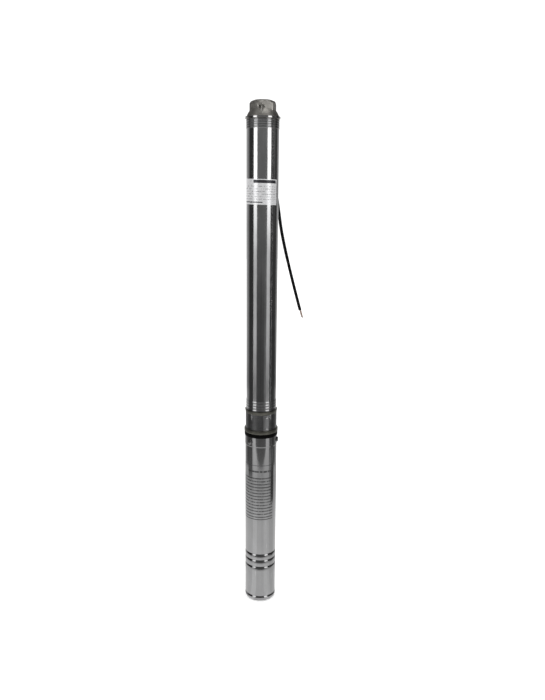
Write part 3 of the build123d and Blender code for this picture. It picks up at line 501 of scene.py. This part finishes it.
# the screw steel darkened: painted shade that dims the collar screws' reflections
SHADED_SCREW = RolledSteel("dull_screw_steel", "screw_steel", (0.26, 0.26, 0.26), 0.24, 0.06)
RUBBER = Moulded("black_ring_rubber", "black_rubber", (0.0016, 0.0016, 0.0016), 0.4, 0.0016, shine=0.03)
SHEATH = Moulded("black_lead_sheath", "lead_sheath", (0.005, 0.005, 0.0055), 0.5, 0.004, 0.00003, 0.02)
CORES = Moulded("core_insulation_brown", "core_insulation", (0.16, 0.07, 0.03), 0.35, 0.02)
VALVE = Moulded("valve_moulding", "valve_plastic", (0.05, 0.05, 0.055), 0.45)
BOWLS = Moulded("bowl_moulding", "bowl_plastic", (0.07, 0.07, 0.08), 0.45)
IMPELLERS = Moulded("impeller_moulding", "impeller_plastic", (0.7, 0.66, 0.55), 0.4)
SHAFT = RolledSteel("ground_shaft_steel", "shaft_steel", (0.66, 0.66, 0.67), 0.14, 0.04)
LAMINATED = Laminated("laminated_core_steel", "laminated_steel")
COPPER = Laminated("varnished_copper", "copper", (0.6, 0.24, 0.1), 1.6)
END_RING = Casting("cast_end_ring_aluminium", "end_ring_aluminium", (0.7, 0.7, 0.71), 0.35)
CARBON = Moulded("ground_carbon", "carbon", (0.05, 0.05, 0.052), 0.3)
CASTINGS = Casting("motor_castings_iron", "motor_castings", (0.2, 0.2, 0.2), 0.5, 0.9)
PLATE = RatingPlate("ruled_film_plate", "polished_stainless")

FINISHES: tuple[Finish, ...] = (
    POLISHED, SATIN, GUARD, OUTLET, BRACKET, STRAINER, SHADED_SCREW, RUBBER, SHEATH, CORES, VALVE, BOWLS,
    IMPELLERS, SHAFT, LAMINATED, COPPER, END_RING, CARBON, CASTINGS,
)


# Meshes

def spaced(first: float, last: float, steps: int) -> list[float]:
    """Even values from a first to a last, with both of them."""
    return [first + (last - first) * n / steps for n in range(steps + 1)]


def around(azimuth: float, radius: float, height: float) -> Vector:
    """The point at an azimuth in degrees from the front, a radius and a height."""
    angle = math.radians(azimuth)
    return Vector((radius * math.sin(angle), -radius * math.cos(angle), height))


def linked(name: str, data: bpy.types.ID) -> Object:
    """A new object in the scene for a mesh, a curve or a camera."""
    bpy.context.scene.collection.objects.link(made := bpy.data.objects.new(name, data))
    return made


def to_object(name: str, bm: bmesh.types.BMesh, finish: Finish) -> Object:
    """Turn a bmesh into an object in the scene.

    Args:
        name: the piece's name.
        bm: its mesh, which is freed.
        finish: its finish.

    Returns:
        The new object, at the origin.
    """
    mesh = bpy.data.meshes.new(name)
    bm.to_mesh(mesh)
    bm.free()
    mesh.materials.append(finish.material())
    mesh.shade_smooth()
    mesh.set_sharp_from_angle(angle=SHARP)
    return linked(name, mesh)


def turned(profile: Profile, segments: int, sweep: Pair = (0.0, 360.0)) -> bmesh.types.BMesh:
    """A closed solid turned about the pump's axis, with a UV map round and along it.

    Args:
        profile: closed outline of (radius, height) in millimetres, counter-clockwise.
        segments: how many steps go round.
        sweep: first and last azimuth in degrees. A full turn is closed on itself.

    Returns:
        The mesh.
    """
    bm = bmesh.new()
    layer = bm.loops.layers.uv.new("UVMap")
    full = abs(sweep[1] - sweep[0]) >= 360.0
    azimuths = spaced(*sweep, segments)[:-1 if full else None]
    rings = [[bm.verts.new(around(azimuth, r, z) * MM) for r, z in profile] for azimuth in azimuths]
    lengths = [0.0]
    for (r0, z0), (r1, z1) in zip(profile, profile[1:] + profile[:1]):
        lengths.append(lengths[-1] + math.hypot(r1 - r0, z1 - z0))
    for n in range(segments):
        left, right = rings[n], rings[(n + 1) % len(rings)]
        for k in range(len(profile)):
            m = (k + 1) % len(profile)
            face = bm.faces.new((left[k], right[k], right[m], left[m]))
            us = (n / segments, (n + 1) / segments, (n + 1) / segments, n / segments)
            vs = (lengths[k], lengths[k], lengths[k + 1], lengths[k + 1])
            for loop, u, v in zip(face.loops, us, vs):
                loop[layer].uv = (u, v / lengths[-1])
    if not full:
        bm.faces.new(rings[0][::-1])
        bm.faces.new(rings[-1])
    bmesh.ops.remove_doubles(bm, verts=bm.verts, dist=OUTLINE_MERGE)
    bmesh.ops.recalc_face_normals(bm, faces=bm.faces)
    return bm


def arc(centre: Pair, radius: float, first: float, last: float, steps: int) -> Profile:
    """Outline points along an arc, from a first to a last angle in degrees."""
    angles = [math.radians(angle) for angle in spaced(first, last, steps)]
    return [(centre[0] + radius * math.cos(a), centre[1] + radius * math.sin(a)) for a in angles]


def wave(radius: float, height: float, width: float, rise: float, peak: float,
         straight: float = 0.0) -> Profile:
    """A smooth rolled wave in an outline going up: a crest where rise is over 0, else a groove.

    Args:
        radius: the plain wall's radius.
        height: the wave's middle.
        width: its whole width along the axis.
        rise: how far it stands out, or goes in where it is under 0.
        peak: where in its width it is highest, from 0 to 1.
        straight: how straight its sides are, from 0 for round to 1.

    Returns:
        Its outline points.
    """
    points, steps = [], WAVE_STEPS
    for n in range(steps + 1):
        share = peak * 2 * n / steps if 2 * n <= steps else peak + (1 - peak) * (2 * n / steps - 1)
        rounded = (1 - math.cos(2 * math.pi * n / steps)) / 2
        lift = rounded + (1 - abs(2 * n / steps - 1) - rounded) * straight
        points.append((radius + rise * lift, height + width * (share - 0.5)))
    return points


def softened(node: str, finish: Finish, width: float) -> Object:
    """A piece that stands for a CAD node, with its edges eased.

    Args:
        node: the CAD node's name.
        finish: the piece's finish.
        width: how wide the eased edges are, in millimetres.

    Returns:
        The new piece.
    """
    bm = bmesh.new()
    bm.from_mesh(frame["nodes"][node].data)
    bmesh.ops.remove_doubles(bm, verts=bm.verts, dist=CAD_MERGE)
    bmesh.ops.dissolve_limit(
        bm, angle_limit=FLAT, verts=bm.verts, edges=bm.edges, use_dissolve_boundaries=False
    )
    piece = to_object(f"{node}_dressed", bm, finish)
    bevel = piece.modifiers.new("eased", "BEVEL")
    bevel.width = width * MM
    bevel.segments = EASE_STEPS
    bevel.limit_method = "ANGLE"
    bevel.angle_limit = SHARP
    bevel.use_clamp_overlap = True
    bake(piece)
    piece.data.set_sharp_from_angle(angle=EASED_SHARP)
    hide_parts(node)
    return piece


def bake(piece: Object) -> None:
    """Turn a piece's modifiers into its plain mesh.

    Args:
        piece: the piece, which keeps its name.
    """
    bpy.context.view_layer.update()
    evaluated = piece.evaluated_get(bpy.context.evaluated_depsgraph_get())
    mesh = bpy.data.meshes.new_from_object(evaluated)
    piece.modifiers.clear()
    piece.data = mesh


def finished(piece: Object, body: Body = Body.PUMP) -> Object:
    """Make a finished piece ride on its body.

    Args:
        piece: the piece.
        body: its body.

    Returns:
        The same piece.
    """
    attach(piece, body.value)
    log.info("%s rides on %s", piece.name, body.value)
    return piece


class Dresser:
    """What every sub-assembly can do: build its pieces and list them."""

    def build(self) -> list[Object]:
        """Make the sub-assembly's pieces."""
        raise NotImplementedError


# Pump end

@dataclass
class Casing(Dresser):
    """The polished tube round the stages, its rolled threads and its rating plate."""

    radius: float = 43.0
    wall: float = 1.5
    lip: float = 0.5
    lower_rise: float = 1.15
    upper_rise: float = 1.1
    turns: int = 4
    lower_pitch: float = 8.0
    upper_pitch: float = 5.8
    thread_end: float = 4.0
    lower_share: float = 0.7
    upper_share: float = 1.0
    crest_peak: float = 0.1
    segments: int = 192
    steps: int = 24
    plate_low: float = 1184.0
    plate_high: float = 1249.0
    plate_sweep: Pair = (-95.0, 59.0)
    plate_tilt: float = 1.1
    plate_seat: float = 0.01
    plate_lift: float = 0.12
    plate_steps: int = 72
    bottom: float = field(init=False)
    top: float = field(init=False)

    def __post_init__(self) -> None:
        """Take the tube's ends from its CAD node."""
        self.bottom, self.top = (corner.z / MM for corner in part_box("pump_casing"))

    def crests(self, heights: list[float], width: float, rise: float) -> Profile:
        """The outline of rolled crests at some heights, going up."""
        return [point for z in heights for point in wave(self.radius, z, width, rise, self.crest_peak)]

    def outline(self) -> Profile:
        """The tube's outline, with a smooth crest for each turn of the two threads.

        Returns:
            The closed outline.
        """
        inner, lip = self.radius - self.wall, self.radius - self.lip
        lower = [self.bottom + self.thread_end + n * self.lower_pitch for n in range(self.turns)]
        upper = [self.top - self.thread_end - n * self.upper_pitch for n in reversed(range(self.turns))]
        points: Profile = [(inner, self.bottom), (lip, self.bottom)]
        points += self.crests(lower, self.lower_pitch * self.lower_share, self.lower_rise)
        end = self.top - self.thread_end - (self.turns - 0.5) * self.upper_pitch
        points += [(self.radius, z) for z in spaced(points[-1][1], end, self.steps)[1:-1]]
        points += self.crests(upper, self.upper_pitch * self.upper_share, self.upper_rise)
        return points + [(lip, self.top), (inner, self.top)]

    def plate(self) -> Object:
        """The thin film plate, wrapped round the tube a little askew.

        Returns:
            The plate.
        """
        low, high = self.plate_low, self.plate_high
        inner, outer = self.radius + self.plate_seat, self.radius + self.plate_lift
        profile = [(inner, low), (outer, low), (outer, high), (inner, high)]
        bm = turned(profile, self.plate_steps, self.plate_sweep)
        layer = bm.loops.layers.uv.verify()
        first, last = self.plate_sweep
        for face in bm.faces:
            for loop in face.loops:
                x, y, z = loop.vert.co / MM
                azimuth = math.degrees(math.atan2(x, -y))
                loop[layer].uv = ((azimuth - first) / (last - first), (z - low) / (high - low))
        slope = math.tan(math.radians(self.plate_tilt))
        middle = math.radians((first + last) / 2)
        for vert in bm.verts:
            angle = math.atan2(vert.co.x, -vert.co.y) - middle
            vert.co.z -= angle * self.radius * MM * slope
        return to_object("rating_plate", bm, PLATE)

    def build(self) -> list[Object]:
        """Make the tube and the plate.

        Returns:
            Both of them.
        """
        tube = to_object("casing_tube", turned(self.outline(), self.segments), POLISHED)
        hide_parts("pump_casing")
        return [finished(tube), finished(self.plate())]


@dataclass
class Strainer(Dresser):
    """The perforated sleeve round the suction windows, with its plain seam and two screws."""

    radius: float = 45.3
    sheet: float = 0.8
    gap: float = 9.0
    seam_azimuth: float = 18.5
    seam_angle: float = 20.0
    seam_rise: float = 0.6
    seam_sink: float = 0.05
    seam_steps: int = 16
    columns: int = 44
    rows: int = 8
    open_share: float = 0.5
    cell_merge: float = 1e-5
    merge: float = 0.01
    screw_ease: float = 0.35
    bottom: float = field(init=False)
    top: float = field(init=False)

    def __post_init__(self) -> None:
        """Take the sleeve's ends from its CAD node."""
        self.bottom, self.top = (corner.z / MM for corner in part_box("strainer"))

    def tree(self) -> bpy.types.NodeTree:
        """Geometry Nodes tree that sets a diamond-holed cell at every place of a grid.

        Returns:
            The tree, whose inputs are the cell, the counts, the cell's size and the material.
        """
        tree = bpy.data.node_groups.new("perforated_sheet", "GeometryNodeTree")
        kinds = {"Cell": "Object", "Columns": "Int", "Rows": "Int", "Width": "Float", "Height": "Float",
                 "Material": "Material"}
        for name, kind in kinds.items():
            tree.interface.new_socket(name, in_out="INPUT", socket_type=f"NodeSocket{kind}")
        tree.interface.new_socket("Geometry", in_out="OUTPUT", socket_type="NodeSocketGeometry")
        nodes = Nodes(tree)
        given = nodes.add("NodeGroupInput").outputs
        sides = {}
        for axis, count, size in (("X", "Columns", "Width"), ("Y", "Rows", "Height")):
            less = nodes.maths("SUBTRACT", given[count], 1.0)
            sides[f"Size {axis}"] = nodes.times(less, given[size])
            sides[f"Vertices {axis}"] = given[count]
        grid = nodes.add("GeometryNodeMeshGrid", sides).outputs["Mesh"]
        cell = nodes.add("GeometryNodeObjectInfo", {"Object": given["Cell"]}).outputs["Geometry"]
        placed = nodes.add("GeometryNodeInstanceOnPoints", {"Points": grid, "Instance": cell}).outputs[0]
        real = nodes.add("GeometryNodeRealizeInstances", {0: placed}).outputs[0]
        coat = nodes.add("GeometryNodeSetMaterial", {"Geometry": real, "Material": given["Material"]})
        nodes.add("NodeGroupOutput", {"Geometry": coat.outputs[0]})
        return tree

    def cell(self, width: float, height: float) -> Object:
        """One flat cell, which only the tree uses: a diamond hole, and a quarter of one at each corner.

        Args:
            width: the cell's width, in millimetres.
            height: its height.

        Returns:
            The cell.
        """
        bm = bmesh.new()
        w, h, share = width / 2, height / 2, self.open_share
        strip = [(0.0, share), (share, 0.0), (1.0, 0.0), (1.0, 1.0 - share), (1.0 - share, 1.0), (0.0, 1.0)]
        for right, up in ((1, 1), (1, -1), (-1, -1), (-1, 1)):
            corners = [bm.verts.new((right * w * x, up * h * y, 0.0)) for x, y in strip]
            bm.faces.new(corners if right != up else corners[::-1])
        bmesh.ops.remove_doubles(bm, verts=bm.verts, dist=self.cell_merge)
        mesh = bpy.data.meshes.new("strainer_cell")
        bm.to_mesh(mesh)
        bm.free()
        return linked("strainer_cell", mesh)

    def sleeve(self) -> Object:
        """The perforated sleeve: the flat grid is bent round the axis and gets its thickness.

        Returns:
            The sleeve.
        """
        length = math.radians(360.0 - 2 * self.gap) * self.radius
        width, height = length / self.columns, (self.top - self.bottom) / self.rows
        cell = self.cell(width, height)
        holder = linked("strainer_sleeve", bpy.data.meshes.new("strainer_sleeve"))
        modifier = holder.modifiers.new("perforated", "NODES")
        modifier.node_group = self.tree()
        values = {"Cell": cell, "Columns": self.columns, "Rows": self.rows, "Width": width, "Height": height,
                  "Material": STRAINER.material()}
        for item in modifier.node_group.interface.items_tree:
            if item.in_out == "INPUT":
                modifier[item.identifier] = values[item.name]
        bake(holder)
        bm = bmesh.new()
        bm.from_mesh(holder.data)
        bmesh.ops.remove_doubles(bm, verts=bm.verts, dist=self.merge)
        middle = (self.bottom + self.top) / 2
        for vert in bm.verts:
            azimuth = math.degrees(vert.co.x / self.radius)
            vert.co = around(azimuth, self.radius, middle + vert.co.y) * MM
        bmesh.ops.recalc_face_normals(bm, faces=bm.faces)
        bmesh.ops.solidify(bm, geom=bm.faces, thickness=self.sheet * MM)
        bmesh.ops.recalc_face_normals(bm, faces=bm.faces)
        ordered = sorted(bm.faces, key=lambda face: face.calc_center_median()[:])
        ranks = {face: n for n, face in enumerate(ordered)}
        bm.faces.sort(key=ranks.get)  # solidify leaves its rims in another order each run
        bm.to_mesh(holder.data)
        bm.free()
        holder.data.shade_smooth()
        holder.data.set_sharp_from_angle(angle=EASED_SHARP)
        bpy.data.objects.remove(cell)
        return holder

    def seam(self) -> Object:
        """The plain strip where the sleeve's ends overlap.

        Returns:
            The strip.
        """
        inner, outer = self.radius - self.seam_sink, self.radius + self.seam_rise
        profile = [(inner, self.bottom), (outer, self.bottom), (outer, self.top), (inner, self.top)]
        half = self.seam_angle / 2
        bm = turned(profile, self.seam_steps, (self.seam_azimuth - half, self.seam_azimuth + half))
        # the strip takes the lightened sheet, which is a painted highlight
        return to_object("strainer_seam", bm, LIT_SEAM)

    def build(self) -> list[Object]:
        """Make the sleeve, its seam and its screws.

        Returns:
            All three.
        """
        sleeve = self.sleeve()
        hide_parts("strainer")
        screws = softened("strainer_screws", SCREW, self.screw_ease)
        return [finished(sleeve), finished(self.seam()), finished(screws)]


@dataclass
class Castings(Dresser):
    """The castings, the ring, the guard and the fasteners, each with how wide its edges are eased."""

    pieces: tuple[tuple[str, Finish, float], ...] = (
        ("outlet_head", OUTLET, 0.8),
        ("suction_bracket", BRACKET, 0.5),
        ("junction_ring", RUBBER, 0.7),
        ("cable_guard", GUARD, 0.25),
        ("guard_screws", SCREW, 0.4),
        # the collar screws take the darkened screw steel, which is painted shade
        ("collar_screws", SHADED_SCREW, 0.6),
    )
    lip_from: float = 44.6
    lip_foot: float = 1.0
    lip_height: float = 5.4

    def turn_lip(self, head: Object) -> None:
        """Give the outer faces of the head's lip their turned finish.

        Args:
            head: the outlet head.
        """
        head.data.materials.append(LIP.material())
        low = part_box("pump_casing")[1].z / MM
        for face in head.data.polygons:
            x, y, z = face.center / MM
            if math.hypot(x, y) > self.lip_from and low - self.lip_foot < z < low + self.lip_height:
                face.material_index = 1

    def build(self) -> list[Object]:
        """Make each piece from its CAD node.

        Returns:
            The pieces.
        """
        made = [finished(softened(node, finish, width)) for node, finish, width in self.pieces]
        self.turn_lip(made[0])
        return made


# Motor

@dataclass
class MotorShell(Dresser):
    """The satin motor tube: rounded base, bead, rolled grooves and wider top end."""

    radius: float = 46.5
    wall: float = 1.5
    base_round: float = 8.5
    base_steps: int = 10
    base_lip: float = 37.0
    bead_z: float = 15.5
    bead_depth: float = 3.6
    grooves: tuple[float, ...] = (116.6, 138.6, 158.5)
    groove_width: float = 6.8
    groove_peak: float = 0.7
    groove_depth: float = 3.2
    groove_straight: float = 0.8
    collar_length: float = 28.5
    collar_rise: float = 0.75
    collar_slope: float = 1.6
    top_lip: float = 0.5
    top_lip_length: float = 0.6
    hold: float = 0.3
    pitch: float = 24.0
    segments: int = 192
    top: float = field(init=False)

    def __post_init__(self) -> None:
        """Take the top from the CAD node."""
        self.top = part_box("motor_shell")[1].z / MM

    def run(self, low: float, high: float) -> Profile:
        """Plain wall points between two heights, not counting its ends."""
        steps = max(1, round((high - low) / self.pitch))
        return [(self.radius, z) for z in spaced(low, high, steps)[1:-1]]

    def outline(self) -> Profile:
        """The shell's outer wall going up, and its plain inner wall coming down.

        Returns:
            The closed outline.
        """
        bend, half = self.radius - self.base_round, self.groove_width / 2
        points: Profile = [(self.base_lip, 0.0)]
        points += arc((bend, self.base_round), self.base_round, -90.0, 0.0, self.base_steps)
        here = self.base_round
        dents = [(self.bead_z, self.bead_depth)] + [(z, self.groove_depth) for z in self.grooves]
        for height, depth in dents:
            points += self.run(here, height - half)
            points += wave(
                self.radius, height, self.groove_width, -depth, self.groove_peak, self.groove_straight
            )
            here = height + half
        collar, end = self.top - self.collar_length, self.top - self.top_lip_length
        points += self.run(here, collar)
        low, high = collar - self.collar_rise, collar + self.collar_slope
        wide = self.radius + self.collar_rise
        points += [(self.radius, low - self.hold), (self.radius, low), (wide, high), (wide, high + self.hold),
                   (wide, end - self.hold), (wide, end), (wide - self.top_lip, self.top)]
        inner = self.radius - self.wall
        narrow, last = inner - self.groove_depth, self.grooves[-1]
        points += [(inner, self.top), (inner, last + self.groove_width), (narrow, last + half),
                   (narrow, self.base_round), (bend, self.wall), (self.base_lip, self.wall)]
        return points

    def build(self) -> list[Object]:
        """Make the shell.

        Returns:
            The shell alone.
        """
        shell = to_object("motor_tube", turned(self.outline(), self.segments), SATIN)
        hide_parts("motor_shell")
        return [finished(shell)]


# Lead

@dataclass
class Lead(Dresser):
    """The free stretch of the motor lead, from the guard's top to its bared cores.

    Its route goes by (X, Y, Z) in millimetres from the guard's top.
    """

    radius: float = 4.5
    exit_y: float = 49.4
    length: float = 0.6710
    round_steps: int = 8
    run_steps: int = 16
    order: int = 3
    route: tuple[Triple, ...] = (
        (0, 0, 0), (0, 0, 41), (2, 31, 72), (8, 74.4, 73), (14, 104.4, 43),
        (23, 106.4, -14), (31.5, 92.4, -78), (43, 76.4, -134), (61, 69.4, -262),
        (114, 71.4, -450),
    )

    def build(self) -> list[Object]:
        """Returns:
            The lead alone.
        """
        exit_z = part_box("guarded_lead")[1].z / MM
        curve = bpy.data.curves.new("motor_lead", "CURVE")
        curve.dimensions = "3D"
        curve.bevel_depth = self.radius * MM
        curve.bevel_resolution = self.round_steps
        curve.resolution_u = self.run_steps
        curve.use_fill_caps = True
        spline = curve.splines.new("NURBS")
        spline.points.add(len(self.route) - 1)
        for point, (x, y, z) in zip(spline.points, self.route):
            point.co = (x * MM, (self.exit_y + y) * MM, (exit_z + z) * MM, 1.0)
        spline.order_u = self.order
        spline.use_endpoint_u = True
        curve.materials.append(SHEATH.material())
        lead = finished(linked("motor_lead", curve))
        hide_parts("free_lead")
        return [lead]


# CAD nodes that show as they are

class CarriedOver(Dresser):
    """The CAD nodes that no piece replaces, each with the finish of its slot."""

    def build(self) -> list[Object]:
        """Give every CAD node that still shows its material.

        Returns:
            Those nodes.
        """
        by_slot = {finish.slot: finish for finish in FINISHES}
        shown = []
        for row in frame["record"]["subparts"]:
            node = frame["nodes"][row["node"]]
            if not node.hide_render:
                material = by_slot[row["material_slot"]].material()
                if not node.material_slots:
                    node.data.materials.append(material)
                for slot in node.material_slots:
                    slot.material = material
                shown.append(node)
        return shown


# Studio

def rim(low: float, high: float, foot: float = 1.0) -> Levels:
    """A side screen's levels, from its foot on the floor up to its dim top."""
    return ((0.0, low * foot), (0.14, low * foot), (0.21, low), (0.3, low), (0.38, high * 0.7), (0.6, high),
            (1.5, high), (1.65, high * 0.3))


# Levels by height over the floor, in metres
DIM = ((0, 0.22), (0.12, 0.2), (0.35, 0.06), (0.6, 0.07), (0.75, 0.1), (0.9, 0.13), (1.15, 0.16),
       (1.4, 0.2), (1.6, 0.2), (1.9, 0.13))
DIM_LINE = ((0, 0.22), (0.12, 0.2), (0.35, 0.04), (0.75, 0.06), (1, 0.13), (1.4, 0.19), (1.6, 0.19),
            (1.9, 0.13))
DIM_GLOW = ((0, 0.22), (0.12, 0.2), (0.5, 0.16), (0.9, 0.15), (1.4, 0.2), (1.6, 0.2), (1.9, 0.13))
STRIP = ((0, 0.27), (0.2, 0.27), (0.3, 0.42), (0.5, 0.7), (0.85, 0.72), (0.95, 0.86), (1.04, 1.2),
         (1.14, 1.7), (1.3, 2.4), (1.75, 2.4), (1.95, 0.8), (2.2, 0.55), (3, 0.45))
FLAG_LEFT = ((0, 0.2), (0.12, 0.18), (0.24, 0.05), (1.5, 0.035), (1.75, 0.15), (3, 0.15))
FLAG_RIGHT = ((0, 0.42), (0.12, 0.38), (0.17, 0.16), (0.3, 0.12), (0.5, 0.04), (1, 0.05), (1.4, 0.07))
FLAG_LINE = ((0, 0.08), (0.16, 0.08), (0.19, 0.4), (0.235, 0.4), (0.25, 0.05), (1, 0.05), (1.2, 0.2),
             (1.4, 0.25))
FLAG_WEDGE = ((0, 0.1), (0.12, 0.1), (0.18, 0.2), (0.3, 0.12), (0.5, 0.04), (1, 0.05), (1.4, 0.07))
FLAG_FAR = ((0, 0.12), (0.25, 0.12), (0.5, 0.04), (1, 0.05), (1.4, 0.07))

# The floor's level by distance, and its sectors: first and last azimuth, and share of the level
FLOOR_FALL = ((0.048, 1.12), (0.42, 1.12), (0.545, 1.06), (0.72, 0.85), (0.925, 0.72), (1.09, 0.8),
              (1.3, 0.95), (2.2, 0.95))
FLOOR_BANDS = ((-56, -26, 1.2), (4, 20, 0.94), (26, 50, 1.08), (64, 108, 0.86))


@dataclass(frozen=True)
class Screen:
    """An upright screen that only reflections see, with its level at several heights in metres."""

    name: str
    first: float
    last: float
    levels: Levels
    distance: float = 1.1
    flat: bool = False


def band(name: str, pairs: list[tuple]) -> bpy.types.Mesh:
    """A band of faces between two lines.

    Args:
        name: the mesh's name.
        pairs: the point on each of the two lines, for every step.

    Returns:
        The mesh.
    """
    mesh = bpy.data.meshes.new(name)
    faces = [(2 * n, 2 * n + 2, 2 * n + 3, 2 * n + 1) for n in range(len(pairs) - 1)]
    mesh.from_pydata([point for pair in pairs for point in pair], [], faces)
    return mesh


def square(name: str, centre: Pair, side: float, height: float) -> bpy.types.Mesh:
    """A flat square, with half its width as its side."""
    x, y = centre
    return band(name, [((x + s, y - side, height), (x + s, y + side, height)) for s in (-side, side)])


@dataclass
class Studio:
    """Pale floor, even surroundings, screens that the polished steel mirrors, and the camera."""

    height: float = 3.0
    screen_foot: float = 0.002
    screen_step: float = 4.0
    card_step: float = 6.0
    world_level: float = 1.2
    floor_side: float = 12.0
    floor_glow: float = 0.28
    floor_tones: tuple[Colour, Colour] = ((0.955, 0.955, 0.955), (0.97, 0.97, 0.97))
    lens: float = 34.7
    pitch: float = 15.38
    yaw: float = 0.985
    roll: float = 0.6
    distance: float = 1.875
    camera_height: float = 1.203
    shift_y: float = 0.047
    panels: tuple[tuple, ...] = (
        ("dim_ceiling", (0.0, 0.0), 2.5, 3.0, 0.26),
        ("soft_panel", (0.3, -0.2), 0.6, 2.9, 1.1),
    )
    screens: tuple[Screen, ...] = (
        Screen("dim_left", -38, -9, DIM, flat=True),
        Screen("dim_line", -9, -2, DIM_LINE, flat=True),
        Screen("dim_right", -2, 20, DIM, flat=True),
        Screen("dim_glow", 20, 35, DIM_GLOW, flat=True),
        Screen("strip_left", -63, -37, STRIP, 1.65),
        Screen("strip_right", 34, 60, STRIP, 1.65),
        Screen("flag_left", -100, -63, FLAG_LEFT, 0.98),
        Screen("flag_right", 60, 76, FLAG_RIGHT, 0.95),
        Screen("flag_wedge", 76, 88, FLAG_WEDGE, 0.72),
        Screen("flag_line", 88, 92, FLAG_LINE, 0.72),
        Screen("flag_far", 92, 104, FLAG_FAR, 0.72),
        Screen("rim_left_line", -108, -100, rim(0.25, 0.09, 0.5)),
        Screen("rim_left_near", -120, -108, rim(0.42, 0.24, 0.5)),
        Screen("rim_left_mid", -134, -120, rim(0.7, 0.42, 0.55)),
        Screen("rim_left_far", -154, -134, rim(1.1, 0.58, 0.7)),
        Screen("rim_right_line", 104, 112, rim(0.2, 0.05)),
        Screen("rim_right_near", 112, 124, rim(0.3, 0.06)),
        Screen("rim_right_mid", 124, 134, rim(0.5, 0.32)),
        Screen("rim_right_far", 134, 154, rim(1, 0.4)),
        Screen("rim_back", 154, 206, rim(1.1, 0.7)),
    )

    def glow(self, mesh: bpy.types.Mesh, levels: Levels, outwards: bool = False) -> None:
        """Stage a mesh that only reflections see, with a light that changes over it.

        Args:
            mesh: the mesh, whose material gets its name.
            levels: heights or distances in metres, lowest first, with the level at each.
            outwards: whether the levels go by the distance from the axis.
        """
        paint = Paint(mesh.name, "ShaderNodeEmission")
        if outwards:
            reach = paint.add("ShaderNodeVectorMath", {0: paint.coords}, operation="LENGTH").outputs["Value"]
        else:
            reach = paint.split(paint.coords)[2]
        most = max(level for _, level in levels)
        stops = [(place / self.height, level / most) for place, level in levels]
        share = paint.ramp(paint.maths("DIVIDE", reach, self.height), *stops)
        paint.dress({"Strength": paint.times(share, most)})
        mesh.materials.append(paint.material)
        card = linked(mesh.name, mesh)
        card.visible_camera = False
        card.visible_diffuse = False
        card.visible_shadow = False

    def raise_screen(self, screen: Screen) -> None:
        """Stand a screen on the floor, round the pump or straight across its front.

        Args:
            screen: its place and its levels.
        """
        steps = max(2, round((screen.last - screen.first) / self.screen_step))
        pairs = []
        for azimuth in spaced(screen.first, screen.last, steps):
            away = screen.distance / math.cos(math.radians(azimuth)) if screen.flat else screen.distance
            pairs.append([around(azimuth, away, z) for z in (self.screen_foot, self.height)])
        self.glow(band(screen.name, pairs), screen.levels)

    def floor_card(self, name: str, height: float, first: float, last: float, share: float) -> None:
        """A sector just over the floor, in which the motor mirrors how the floor's light falls off.

        Args:
            name: the card's name.
            height: its height in metres.
            first: its first azimuth in degrees.
            last: its last azimuth.
            share: its share of the floor's level.
        """
        levels = tuple((distance, level * share) for distance, level in FLOOR_FALL)
        steps = max(4, round((last - first) / self.card_step))
        ends = (levels[-1][0], levels[0][0])
        pairs = [[around(azimuth, r, height) for r in ends] for azimuth in spaced(first, last, steps)]
        self.glow(band(name, pairs), levels, outwards=True)

    def floor(self) -> None:
        """Lay the plain pale floor."""
        paint = Paint("studio_floor")
        paint.dress({
            "Base Color": paint.blend(paint.noise(paint.coords, FLOOR_CLOUD), *self.floor_tones),
            "Roughness": 0.95,
            "Specular IOR Level": 0.0,
            "Emission Color": (1, 1, 1, 1),
            "Emission Strength": self.floor_glow,
        })
        mesh = square("studio_floor", (0.0, 0.0), self.floor_side, 0.0)
        mesh.materials.append(paint.material)
        floor = linked("studio_floor", mesh)

    def lights(self) -> None:
        """Make the surroundings, the screens, the floor's cards and the panels."""
        world = bpy.data.worlds.new("studio")
        world.use_nodes = True
        sky = world.node_tree.nodes["Background"].inputs
        sky["Color"].default_value = (1, 1, 1, 1)
        sky["Strength"].default_value = self.world_level
        bpy.context.scene.world = world
        for screen in self.screens:
            self.raise_screen(screen)
        self.floor_card("floor_ring", 0.001, 0, 360, 1)
        for n, sector in enumerate(FLOOR_BANDS, 1):
            self.floor_card(f"floor_band_{n}", 0.0015, *sector)
        for name, centre, side, height, level in self.panels:
            self.glow(square(name, centre, side, height), ((0.0, level), (self.height, level)))

    def camera(self) -> None:
        """Set the camera at the photograph's angle."""
        data = bpy.data.cameras.new("camera")
        data.sensor_width = 36.0
        data.lens = self.lens
        data.shift_y = self.shift_y
        data.clip_start = 0.05
        camera = linked("camera", data)
        turn = Matrix.Rotation(math.radians(-self.yaw), 4, "Z")
        tip = Matrix.Rotation(math.radians(90.0 - self.pitch), 4, "X")
        lean = Matrix.Rotation(math.radians(self.roll), 4, "Z")
        stand = Matrix.Translation((0.0, -self.distance, self.camera_height))
        camera.matrix_world = stand @ turn @ tip @ lean
        bpy.context.scene.camera = camera

    def build(self) -> None:
        """Set the whole studio."""
        self.floor()
        self.lights()
        self.camera()
        bpy.context.scene.view_settings.view_transform = "Standard"


def main() -> None:
    """Build every sub-assembly in order, then the studio."""
    logging.basicConfig(level=logging.INFO, format="%(name)s: %(message)s")
    assemblies: list[Callable[[], Dresser]] = [Casing, Strainer, Castings, MotorShell, Lead, CarriedOver]
    for assembly in assemblies:
        pieces = assembly().build()
        log.info("%s: %s", assembly.__name__, ", ".join(piece.name for piece in pieces))
    Studio().build()


if __name__ == "__main__":
    main()
